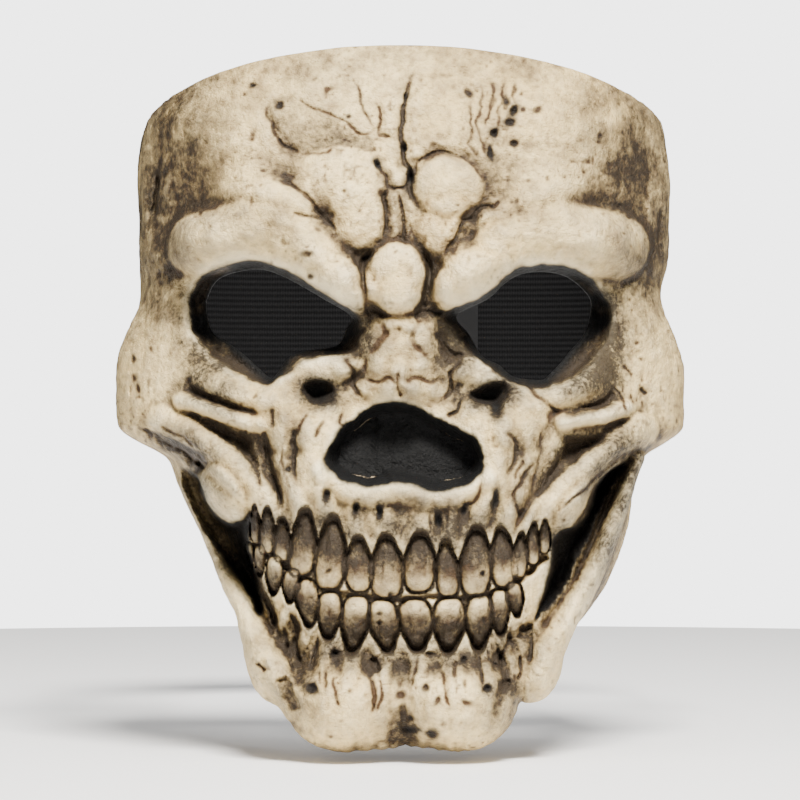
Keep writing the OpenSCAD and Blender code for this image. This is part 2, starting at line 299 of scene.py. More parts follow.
# Bars of bone: points, radii, heights, power
BARS = [
    # brows, which melt into the forehead above
    ([(-60, 29), (-50, 29), (-41, 28), (-32, 24.5), (-24, 19.5), (-16.5, 13), (-12.5, 10.5)],
     [9, 9.5, 9.5, 9.5, 9.2, 9, 6.8], [2, 4, 5, 6, 7.5, 10, 7.5], 1.3),
    ([(62, 27), (54, 28), (45.5, 27.5), (36.5, 25), (27.5, 21.5), (19, 15.5), (14.5, 12)],
     [9, 9.5, 9.5, 9.5, 9.2, 9, 7.2], [2, 4, 5, 6, 7.5, 10, 7.5], 1.3),
    # round inner ends of the brows
    ([(-25, 19), (-19, 14.5), (-14, 10.8)], [5.5, 7, 5.6], [1.5, 3.5, 2.5], 0.6),
    ([(27, 20.5), (21, 16.5), (15.5, 12.6)], [5.5, 7, 6], [1.5, 3.5, 2.5], 0.6),
    # thin upper ridges of the cheek arches
    ([(-65, -21), (-60, -22), (-52.5, -24.5), (-45, -27), (-41.5, -28)], 2.8, [4, 5, 5, 4.5, 3], 0.7),
    ([(48, -27), (54, -25.8), (60, -25.2), (67, -23)], 2.8, [4, 5, 5, 4], 0.7),
    # main bands of the cheek arches
    ([(-71, -27), (-63, -30), (-56, -35), (-48, -41.5), (-41.5, -48), (-36, -54)],
     [5.5, 5.4, 5.6, 5.8, 5.6, 4], [4, 5.5, 6.5, 6.5, 5, 2], 0.9),
    ([(72, -30), (65, -34.5), (57, -40.5), (50, -46), (44, -51.5), (39, -56)],
     [6, 5.6, 5.4, 5.2, 4.6, 3.6], [4, 5.5, 6.5, 6, 4.5, 2], 0.9),
    # the jaw's rising branches
    ([(-66, -48), (-62.5, -57), (-57.5, -67), (-51, -78), (-44.5, -89), (-39, -99), (-35, -108)],
     [4, 4, 4.5, 5, 5.5, 6.5, 7], [4, 6, 7, 7.5, 7, 5, 2.5], 0.8),
    ([(72, -39), (67, -50.5), (62, -62.5), (56.5, -74.5), (50, -85.5), (44.5, -94.5), (41.5, -106)],
     [3.4, 3.6, 3.8, 4.2, 4.8, 5.5, 6.5], [6, 7.5, 8, 8, 7.5, 6, 3], 0.8),
    # pillars beside the nose, down to the roots of the teeth
    ([(-35, -28), (-33.5, -38), (-30.5, -48), (-27.5, -56)], [4.6, 4.6, 4.4, 3.4], [1, 3.2, 3, 0.8], 0.9),
    ([(-26.5, -27), (-27, -37), (-24, -46), (-20, -55)], [4.2, 4.4, 4, 3.2], [1, 2.6, 2.6, 0.8], 0.9),
    ([(36.5, -30), (36, -39), (34, -47), (30.5, -56)], [4.6, 4.6, 4.2, 3.4], [1, 3.2, 3, 0.8], 0.9),
    ([(28.5, -28), (29.5, -37), (27, -46), (22.5, -55)], [4.2, 4.4, 4, 3.2], [1, 2.6, 2.6, 0.8], 0.9),
    # folds under the sockets
    ([(-60, -13), (-50, -18), (-41, -21), (-34, -20)], [3.6, 3.8, 3.6, 3], [1, 2.2, 2.2, 0.5], 1.0),
    ([(60, -13), (52, -18), (44, -21), (37, -21)], [3.6, 3.8, 3.6, 3], [1, 2.2, 2.2, 0.5], 1.0),
    # ledge below the nose opening
    ([(-23, -41), (-16, -46.5), (-9, -48), (-1, -45.8), (7, -48.5), (16, -48.5), (25, -43)],
     [3.4, 3.8, 4, 5, 4, 3.8, 3.4], [3, 4.2, 4.6, 4.8, 4.6, 4.2, 3], 1.1),
]

for x, z, rx, rz, height, power, turn in MASSES:
    swell(x, z, rx, rz, height, power, turn)
for points, radii, heights, power in BARS:
    rod(points, radii, heights, power)

# Eye sockets, with crisp upper edges below the brows
SOCKET_LEFT = [(-62.5, 13), (-56.5, 18.3), (-49, 20.6), (-42.5, 21), (-33.5, 18.6), (-21.3, 11.4),
               (-12.5, 5.2), (-11.5, -1.5), (-15, -7.4), (-26.3, -9.4), (-33.6, -14), (-40.4, -17),
               (-51, -12), (-59, -6), (-63, 3)]
SOCKET_RIGHT = [(13, 5.0), (25, 11.6), (30.3, 16.8), (35.6, 19.5), (43.4, 20.2), (51, 18.8),
                (58.2, 14.5), (62.6, 8), (62.5, -1), (58.5, -8), (52.6, -14), (42.4, -18), (32, -16.5),
                (25, -11.7), (18.5, -6), (14.5, 0)]
hollow(SOCKET_LEFT, -10.5, 3.2, keep=0.2, airbrush_and_shade_amount=0.95, airbrush_and_shade_edge=0.2)
hollow(SOCKET_RIGHT, -10.5, 3.2, keep=0.2, airbrush_and_shade_amount=0.95, airbrush_and_shade_edge=0.2)

rod([(-60.5, 25.6), (-54, 26.8), (-46, 28.4), (-38, 29)], [9.6, 9.8, 9.4, 8], [8, 7.5, 4, 0.4], 0.8)
rod([(64.5, 25.4), (57, 26.6), (49, 28.2), (41, 29)], [10.8, 10.8, 10, 8], [8.5, 8, 4, 0.4], 0.8)
swell(-0.9, 15, 9.6, 10.8, 9.5, 0.6)           # ball between the brows
swell(-52.5, -48, 10.5, 6.4, 8, 0.7, -53)      # left lobe under the cheek arch
swell(51, -51.5, 9, 3.8, 6, 0.7, 53)           # right lobe under the cheek arch
for x, z, rx, rz, height, turn in (
    (-3.5, 1.5, 4.5, 2.4, 1.4, 15), (3.5, 0.5, 4.5, 2.2, 1.4, -15), (-7, -10, 3.5, 4, 1.4, 20),
    (6.5, -9.5, 3.2, 4, 1.5, -20), (-0.5, -12, 3.2, 4.5, 1.2, 0), (-3, -17, 4, 2.6, 1.3, 30),
    (3.5, -17, 4, 2.6, 1.3, -30), (-12, -17.5, 4.5, 3, 1.5, 20), (11, -18, 4.5, 3, 1.5, -20),
    (-16, -11, 5, 3.5, 1.5, -15), (16, -12.5, 5, 3.5, 1.5, 15), (-28, -30, 4, 6, 1.2, 10),
    (31, -29, 4, 6, 1.2, -10), (-20, -21, 5, 3.2, 1.2, -30), (20, -23, 4.5, 3.2, 1.2, 30),
):
    swell(x, z, rx, rz, 1.5 * height, 1.0, turn)     # small knots round the nose
rise[:] = blur(rise, 0.3)

# ---- Sunken places

PATCH = [(-39.5, 68), (-38.5, 60), (-34.5, 55), (-28.5, 51), (-22, 52), (-15, 52.5), (-8.5, 51.5),
         (-7, 56.5), (-12, 58), (-16, 60.5), (-21, 64), (-27, 66), (-33, 70)]
hollow(PATCH, 0, 1.6, keep=0.55, airbrush_and_shade_amount=0.22, airbrush_and_shade_edge=-0.5)

NOSE = [(-1.2, -20.6), (-7.8, -22), (-14.7, -25.8), (-20.5, -32.7), (-22.3, -37.4), (-20.5, -42),
        (-15.9, -44.9), (-9, -46), (-4, -45.5), (-1.2, -44.4), (4, -46), (9.8, -47.5), (17.3, -46),
        (22.3, -43.7), (24.6, -39.1), (24, -33.9), (21.7, -30.4), (13.9, -27), (8.1, -23.5), (2.3, -20.9)]
hollow(NOSE, -8.5, 4.5, airbrush_and_shade_amount=1, inky=1, airbrush_and_shade_edge=1.6)
rod([(-0.5, -30), (0, -38), (0.5, -46)], [2.2, 2.6, 3.4], [0.3, 0.8, 1.2], 1.2)

for x, z, rx, rz, depth, turn in (
    (-24, -18.3, 5.6, 3.8, 6.0, -14), (26.6, -18.8, 6.4, 3.6, 6.0, 12), (28, -22.6, 2.2, 3.0, 2.5, 0),
):
    pit(x, z, rx, rz, depth, turn, 1, 0.95)    # holes beside the nose

# Hollows under the cheek arches, darkened with grey-black: partly paint, partly painted shade under the
# arches
ARCH_HOLLOW_LEFT = [(-61.4, -26), (-55.7, -27.5), (-48.2, -29), (-43.6, -30.8), (-41.5, -37.2),
                    (-39.7, -45), (-42, -46), (-45.5, -38.8), (-50.6, -33.6), (-56.6, -29.8)]
ARCH_HOLLOW_RIGHT = [(47.6, -30.2), (54.5, -30), (60.8, -30.4), (61.4, -33), (57.5, -36),
                     (52.4, -39), (47, -42.9), (43, -47.1), (40.6, -48.6), (42.4, -41.7),
                     (44.2, -37.2), (46, -33.2)]
hollow(ARCH_HOLLOW_LEFT, -5, 5.0, airbrush_and_shade_amount=0.85, airbrush_and_shade_edge=2.0)
hollow(ARCH_HOLLOW_RIGHT, -5, 5.0, airbrush_and_shade_amount=0.85, airbrush_and_shade_edge=2.0)

MOUTH_CORNER_LEFT = [(-66.5, -41), (-64.5, -50), (-60, -58.5), (-53.5, -67.5), (-46, -77), (-42.4, -84),
                     (-40, -82.5), (-41.5, -74.6), (-43.5, -67.3), (-44, -60), (-43, -53.2),
                     (-46.8, -55.6), (-51.2, -56.5), (-55, -54.1), (-57.6, -49.7), (-59.2, -44)]
MOUTH_CORNER_RIGHT = [(66, -39.6), (67.8, -40.8), (63.2, -47.7), (59.8, -53.4), (56.9, -60.8),
                      (52.3, -68.8), (48, -77.5), (43.2, -83), (39.1, -85.9), (42, -76),
                      (43.4, -68), (43.5, -62), (46, -59), (52.7, -56.5), (56, -52), (57.5, -46.5),
                      (61, -42)]
hollow(MOUTH_CORNER_LEFT, -9, 3.4, airbrush_and_shade_amount=1, inky=0.9, airbrush_and_shade_edge=2.0)
hollow(MOUTH_CORNER_RIGHT, -9, 3.4, airbrush_and_shade_amount=1, inky=0.9, airbrush_and_shade_edge=2.0)

# ---- Teeth: x, root height, edge height, width

UPPER_TEETH = [
    (-42.5, -52, -63, 3.2), (-38.8, -52.8, -65.8, 5.0), (-34.4, -55.8, -67.8, 5.6),
    (-28.2, -53.4, -71.8, 8.2), (-20.2, -55.8, -75.6, 9.2), (-12, -61.2, -76.2, 8.4),
    (-3.8, -60.8, -78, 9.8), (5.6, -60, -76.2, 9.4), (13.8, -62.2, -77.6, 7.0),
    (22, -58.6, -77.6, 9.4), (30, -58.6, -75.2, 7.6), (35, -60, -72.6, 4.6),
    (38.9, -57.2, -68.8, 4.0), (42.3, -56, -65.6, 3.4),
]
LOWER_TEETH = [
    (-44.6, -70.5, -62.5, 2.8), (-41.2, -72, -63, 3.4), (-37, -77, -66.2, 5.0),
    (-31.8, -79.4, -70, 5.0), (-26.8, -86, -72.6, 6.6), (-20.6, -89.6, -76.4, 7.2),
    (-13.2, -93.2, -77.4, 8.0), (-4.6, -93, -78.4, 8.8), (4.6, -92.8, -78.4, 9.4),
    (14.2, -93.2, -78, 9.4), (23, -92.6, -77.4, 8.2), (29, -88.6, -75.8, 5.6), (33.6, -83.4, -73.8, 4.8),
]
TOOTH_RISE = 4.2
BED_DEPTH = 4.0

teeth_rise = np.zeros(GX.shape)
teeth_bed = np.zeros(GX.shape)


def tooth(x, root, edge, width, rng):
    """A tooth with a pointed root end and a square biting edge."""
    middle = (root + edge) / 2
    half = abs(root - edge) / 2
    part = window([(x, middle)], half + 4)
    to_root = (GZ[part] - middle) / (root - middle)
    tilt = 0.10 * width * rng.uniform(-1, 1)
    lean = 0.5 * fractal(GX[part], GZ[part], 5, 2, int(40 + abs(x)))
    side = (GX[part] + 0.6 * lean + tilt * to_root - x) / (width / 2)
    narrowing = 1 - 0.30 * smooth_step(to_root) - 0.05 * smooth_step(-to_root)
    sharpness = np.where(to_root > 0, 1.75, 4.0)
    q = (np.abs(side / narrowing) ** 2.6 + np.abs(to_root) ** sharpness) ** (1 / 2.3)
    crown = TOOTH_RISE * np.maximum(0, 1 - q ** 3.2) ** 0.55
    crown *= 1 - 0.12 * np.abs(side) ** 2 - 0.10 * smooth_step(to_root)
    teeth_rise[part] = np.maximum(teeth_rise[part], crown)
    teeth_bed[part] = np.maximum(teeth_bed[part], smooth_step((1.20 - q) / 0.14))
    inside = smooth_step((1.02 - q) / 0.1)
    shade = np.clip(1.0 + 0.5 * lean, 0, 1)
    paint(airbrush_and_shade, part, 0.97, inside * smooth_step((to_root + 0.85) / 1.5) * shade)
    # Grey-black on the tooth's sides: partly paint, partly painted shade between the teeth
    paint(airbrush_and_shade, part, 0.55, inside * np.clip(np.abs(side), 0, 1) ** 4)
    paint(wash_and_shade, part, 1.0, inside * smooth_step((to_root + 0.95) / 0.9) * np.clip(0.8 + 0.5 * lean, 0, 1))
    # A grey-black ring round the tooth: partly paint, partly painted shade in the gap round it
    paint(airbrush_and_shade, part, 0.92, smooth_step((1.26 - q) / 0.12) * smooth_step((q - 0.93) / 0.07))
    paint(wash_and_shade, part, 0.6, inside * np.clip(0.55 + 0.8 * lean, 0, 1))
    for _ in range(2 if width > 5 else 1):
        start = x + width * rng.uniform(-0.25, 0.25)
        top = middle + (root - middle) * rng.uniform(0.45, 0.8)
        low = middle - (root - middle) * rng.uniform(0.1, 0.6)
        TOOTH_CRACKS.append([(start, top), (start + rng.uniform(-0.8, 0.8), (top + low) / 2),
                             (start + rng.uniform(-0.8, 0.8), low)])


TOOTH_CRACKS = []
tooth_random = np.random.default_rng(5)
for x, root, edge, width in UPPER_TEETH + LOWER_TEETH:
    tooth(x, root, edge, width, tooth_random)
for x, root, edge, width in UPPER_TEETH[3:12] + LOWER_TEETH[3:12]:
    away = 1 if root > edge else -1
    fan = 0.16 * x
    rod([(x, root), (x + 0.4 * fan, root + 5 * away), (x + fan, root + 11 * away)],
        [0.42 * width, 0.36 * width, 0.25 * width], [0.9, 2.0, 0.4], 1.0)    # root under the gum
BITE_LINE = [(-43, -64), (-38, -67), (-32, -70), (-26, -74), (-17, -77), (-8, -78), (0, -78.6),
             (9, -77.6), (18, -78.2), (26, -77), (32, -74.6), (37, -71), (42, -67)]
bite_part = window(BITE_LINE, 4)
bite, _ = along(curve(BITE_LINE), 1.6, bite_part, WARP_X, WARP_Z)
teeth_bed[bite_part] = np.maximum(teeth_bed[bite_part], rounded(bite, 1))
rise -= BED_DEPTH * teeth_bed
rise += teeth_rise

# ---- Cracks: points, width, depth, ink, dark

CRACKS = [
    # forehead
    ([(3.5, 75), (2.3, 71), (1.5, 68), (1, 62.3), (0.4, 58), (1, 53), (1.5, 49), (2.7, 46), (2.7, 42),
      (3.5, 39), (5.5, 35.7)], 0.75, 1.3, 1.0, 0.5),
    ([(-13.2, 73.7), (-12, 70.2), (-11, 65.8), (-9.4, 62.5), (-7.6, 58.5)], 0.5, 0.8, 0.9, 0),
    ([(-6.4, 66.4), (-5.9, 62.4), (-6.4, 58), (-5.4, 57), (-2, 56.3)], 0.5, 0.9, 1.0, 0),
    ([(-30, 68.3), (-26.6, 65.5), (-21.6, 64), (-16, 60.8), (-11.5, 57.6), (-7.6, 58)], 0.5, 0.8, 0.9, 0),
    ([(-39, 67), (-39.2, 63), (-38, 60.3), (-37.3, 58), (-34.5, 54.7), (-31, 52.7), (-28.4, 51.2)],
     0.6, 1.0, 1.0, 0.15),
    ([(-28.4, 51.2), (-22, 52), (-19.5, 52.8)], 0.45, 0.5, 0.7, 0),
    ([(-6.7, 48.5), (-4.2, 44.5), (-3.7, 41.8), (1.3, 41.5), (2.4, 44)], 0.5, 0.9, 1.0, 0.1),
    ([(-3.7, 41.2), (-4.8, 38.3), (-4.2, 34.5), (-3.7, 31), (-4.8, 26.6)], 0.6, 1.1, 1.0, 0.1),
    ([(-0.4, 40), (0.4, 35.7), (1.3, 31), (1.5, 26.6), (2.4, 24.3)], 0.6, 1.1, 1.0, 0.1),
    ([(3, 31), (5, 26)], 0.4, 0.6, 0.8, 0),
    ([(3.8, 44.5), (5.5, 49), (10, 51.8), (16, 51.2), (20.5, 48.5), (24, 44.5)], 0.5, 0.9, 0.9, 0),
    ([(29, 38.3), (27.3, 36.3), (24, 35.7), (21, 32.2), (18.4, 31), (16.7, 27.8), (13.8, 23.8), (13, 21.6)],
     0.6, 1.1, 1.0, 0.15),
    ([(-36.7, 43.4), (-31, 41.8), (-26.6, 38.3), (-24.4, 35), (-22.2, 32.8), (-19.9, 30.5), (-18.5, 27.8)],
     0.6, 1.0, 1.0, 0.15),
    ([(-31, 34.2), (-26.6, 32.8), (-22.2, 32.5)], 0.5, 0.8, 0.9, 0),
    ([(-7, 23), (-11, 19.3), (-11, 15.5), (-10.4, 12.6), (-9.6, 6)], 0.9, 1.8, 1.0, 0.5),
    ([(6, 24.4), (7.9, 21), (8.6, 18.7), (8.2, 13.8), (7.3, 10), (6.8, 6.5), (5, 4)], 0.9, 1.8, 1.0, 0.5),
    ([(-10, 5.2), (-7, 5.6), (-4, 3.8)], 0.9, 1.4, 1.0, 0.7),
    ([(4, 4), (7, 5), (14, 5)], 0.8, 1.4, 1.0, 0.6),
    # temples
    ([(-73.3, 49), (-73.3, 44.5), (-74, 39), (-74.2, 34)], 0.8, 1.4, 1.0, 0.9),
    ([(-74, 39), (-75.6, 34.5), (-76.4, 30)], 0.5, 0.7, 0.8, 0.3),
    ([(79, 39), (79.3, 33.3), (78.7, 29.4), (78.7, 25.8), (79, 22)], 0.8, 1.4, 1.0, 0.9),
    ([(76, 22), (78, 29)], 0.5, 0.7, 0.6, 0.3),
    # beside the nasal bridge
    ([(-9.4, 1.5), (-12.6, -1.9), (-13.7, -5.3), (-17.1, -7)], 0.9, 1.5, 1.0, 0.9),
    ([(10, -0.3), (14.9, -7), (19.3, -7.6)], 0.8, 1.3, 1.0, 0.6),
    ([(-10, -8), (-10.5, -12)], 0.5, 0.7, 0.8, 0),
    ([(-7, 3), (-4, -1), (-7, -5), (-9.5, -8)], 0.9, 1.0, 0.6, 0.1),
    ([(6, 2.5), (3.4, -2), (5.5, -6), (9, -9)], 0.9, 1.0, 0.6, 0.1),
    ([(-11, -14), (-7, -15.6), (-3, -14.2), (-1, -16.6)], 0.8, 0.9, 0.5, 0.1),
    ([(2, -16), (4.5, -14.2), (9, -15.6), (12, -13.4)], 0.8, 0.9, 0.5, 0.1),
    ([(-16.5, -8), (-13.5, -12), (-14, -16.5), (-10, -20)], 0.8, 1.4, 1.0, 0.3),
    ([(18.5, -9), (14.8, -13), (15, -17), (12, -20.5)], 0.8, 1.4, 1.0, 0.3),
    ([(0, -12), (-0.6, -16), (0.4, -19.5)], 0.5, 1.0, 0.9, 0.1),
    ([(17.5, -21), (16.5, -24), (13, -26)], 0.6, 1.2, 1.0, 0.5),
    ([(-17, -24), (-17.5, -27), (-16, -29)], 0.5, 0.8, 1.0, 0.4),
    ([(36.7, -15.2), (40.5, -19.7), (46.5, -24.5)], 0.7, 1.0, 1.0, 0.3),
    # pillars of the upper jaw
    ([(-37.3, -23), (-37.6, -26), (-37.3, -29.3)], 0.6, 1.0, 1.0, 0.5),
    ([(-29.7, -28.7), (-30.8, -33.8), (-30.3, -45)], 0.8, 1.4, 1.0, 0.6),
    ([(-26.6, -24.3), (-29.7, -29.3)], 0.5, 0.8, 0.9, 0.1),
    ([(-21.6, -26), (-23.4, -28.7), (-24.6, -32.2)], 0.5, 0.8, 1.0, 0.2),
    ([(-40, -29.3), (-38.6, -36.6), (-36.6, -43.9), (-33.6, -53.2)], 0.8, 1.3, 1.0, 0.5),
    ([(-38.3, -41), (-35.7, -46.8), (-35.1, -53)], 0.5, 0.8, 0.9, 0.1),
    ([(-34.5, -33), (-34, -40), (-32, -47)], 0.4, 0.6, 0.7, 0),
    ([(30.1, -29.8), (33.3, -33.2), (33.3, -38.9), (30.7, -42.7)], 0.7, 1.1, 1.0, 0.3),
    ([(39.5, -37.7), (36.3, -42.7), (33.3, -47.7), (33.9, -51.8), (35.7, -55)], 0.6, 1.0, 1.0, 0.3),
    ([(36.3, -37.7), (32.9, -43.9)], 0.5, 0.8, 0.9, 0.1),
    ([(41, -30), (40.5, -38), (38.5, -46)], 0.4, 0.6, 0.8, 0.1),
    ([(24, -44), (22, -49), (18, -52)], 0.5, 0.7, 0.7, 0.1),
    # cheek arches
    ([(-63.2, -16.1), (-58.7, -19.1), (-52.7, -21.5), (-45.2, -24)], 1.5, 1.5, 0.6, 0.7),
    ([(47, -26), (52.7, -24), (57.2, -22.6), (61.7, -20.6), (63.2, -17.6)], 1.3, 1.4, 0.6, 0.6),
    ([(-78.3, -29), (-70.7, -31.7), (-63.2, -35), (-58.7, -37.2), (-56.6, -39.6)], 0.7, 1.3, 1.0, 0.5),
    ([(-70.7, -28.1), (-64.7, -31.4), (-60.2, -34.5)], 0.6, 1.0, 1.0, 0.3),
    ([(-74, -31.5), (-66, -35), (-61, -38.5)], 0.6, 1.0, 1.0, 0.4),
    ([(-60.5, -38.5), (-57, -41)], 0.9, 1.4, 1.0, 0.9),
    ([(69, -36), (62, -40), (54, -46.5), (46, -53)], 0.6, 1.0, 1.0, 0.4),
    ([(63.2, -16.5), (66, -20), (67, -24)], 0.5, 0.8, 0.9, 0.1),
    ([(66, -10), (69, -14)], 0.5, 0.7, 0.8, 0),
    ([(71.3, -16.4), (73.4, -19.4)], 0.7, 0.9, 1.0, 0.4),
    # jaw
    ([(-45, -67), (-41.3, -76), (-38, -82.6), (-35.8, -88.6)], 1.2, 1.8, 1.0, 0.9),
    ([(-32.8, -81.6), (-30, -87.2), (-30.5, -92.4), (-28.4, -98.6)], 0.7, 1.1, 1.0, 0.4),
    ([(-24, -91), (-25.2, -96.8), (-26.7, -99.5)], 0.6, 1.0, 1.0, 0.3),
    ([(-34, -86), (-33, -93), (-31, -100)], 0.5, 0.7, 0.9, 0.1),
    ([(-42, -97), (-39.5, -100)], 0.6, 0.9, 1.0, 0.3),
    ([(-8.3, -95.8), (-6.1, -99.5)], 1.0, 1.5, 1.0, 0.8),
    ([(-8.9, -100.6), (-7.3, -106.1), (-7.9, -110.9)], 0.6, 1.0, 1.0, 0.1),
    ([(-6, -101), (-5.4, -106), (-6.8, -110.5)], 0.5, 0.8, 0.9, 0),
    ([(-19.2, -100.6), (-18.6, -106), (-17.5, -108.8)], 0.5, 0.8, 1.0, 0.1),
    ([(-21.3, -99.5), (-21.3, -103.8)], 0.45, 0.7, 0.9, 0),
    ([(-23.4, -99), (-23, -103)], 0.4, 0.6, 0.8, 0),
    ([(5.2, -95.2), (4.1, -99.5), (2.9, -103.8)], 0.5, 0.8, 0.9, 0.1),
    ([(12.2, -98.5), (13.3, -103.8), (13.7, -108.8)], 0.5, 0.8, 0.9, 0),
    ([(16, -95.8), (16, -101.2)], 0.6, 0.9, 1.0, 0.3),
    ([(23, -93.6), (23, -98), (24.1, -102.8)], 0.6, 0.9, 1.0, 0.3),
    ([(25, -92), (27, -97), (30, -99)], 0.5, 0.8, 0.9, 0.1),
    ([(32.2, -87.2), (31.6, -92.4), (29.5, -95.8), (29.5, -100)], 0.6, 1.0, 1.0, 0.3),
    ([(38, -89), (38.5, -92), (37.5, -97.5)], 0.6, 1.0, 1.0, 0.3),
    ([(35, -94.6), (34.8, -103)], 0.5, 0.8, 0.9, 0.1),
    ([(35, -86), (36.5, -88), (38.5, -87)], 0.8, 1.2, 1.0, 0.7),
    ([(-34.8, -100.6), (-32.8, -105), (-30, -111)], 2.2, 1.6, 0.3, 0.3),
    ([(30.5, -101), (28.6, -107), (27, -113)], 2.2, 1.6, 0.3, 0.3),
    ([(0, -108), (1.2, -113), (1.5, -117.5)], 1.2, 0.9, 0.5, 0.2),
]
# Wavering grooves of the worn bone high on the right
WORN_GROOVES = [
    [(26.6, 74), (27.5, 70), (27, 66.5), (25.6, 62.5), (24.6, 58)],
    [(30.7, 74), (30, 68.5), (29, 65), (29.2, 61), (28.4, 56)],
    [(20.3, 66.5), (20.5, 62.5), (20.8, 58.5), (20.5, 54.5), (21.6, 50)],
    [(23.5, 73), (24, 68), (22.8, 62), (23.2, 56), (24.6, 51.5)],
    [(34, 73), (33.2, 69), (34.6, 66)],
]
for points, width, depth, ink, dark in CRACKS:
    if depth > 0.85 and width < 1.2:
        crack(points, 4 * width, 0.7 * depth, 0.22 * ink, 0.15 * dark, ragged=2)
    crack(points, width, depth, ink, dark)
for points in WORN_GROOVES:
    crack(points, 0.55, 0.6, 0.55, 0, ragged=1.6)
for points in TOOTH_CRACKS:
    crack(points, 0.35, 0.45, 0.75, 0.1, ragged=0.6)

# ---- Pits: x, z, half width, half height, depth, turn, ink, dark

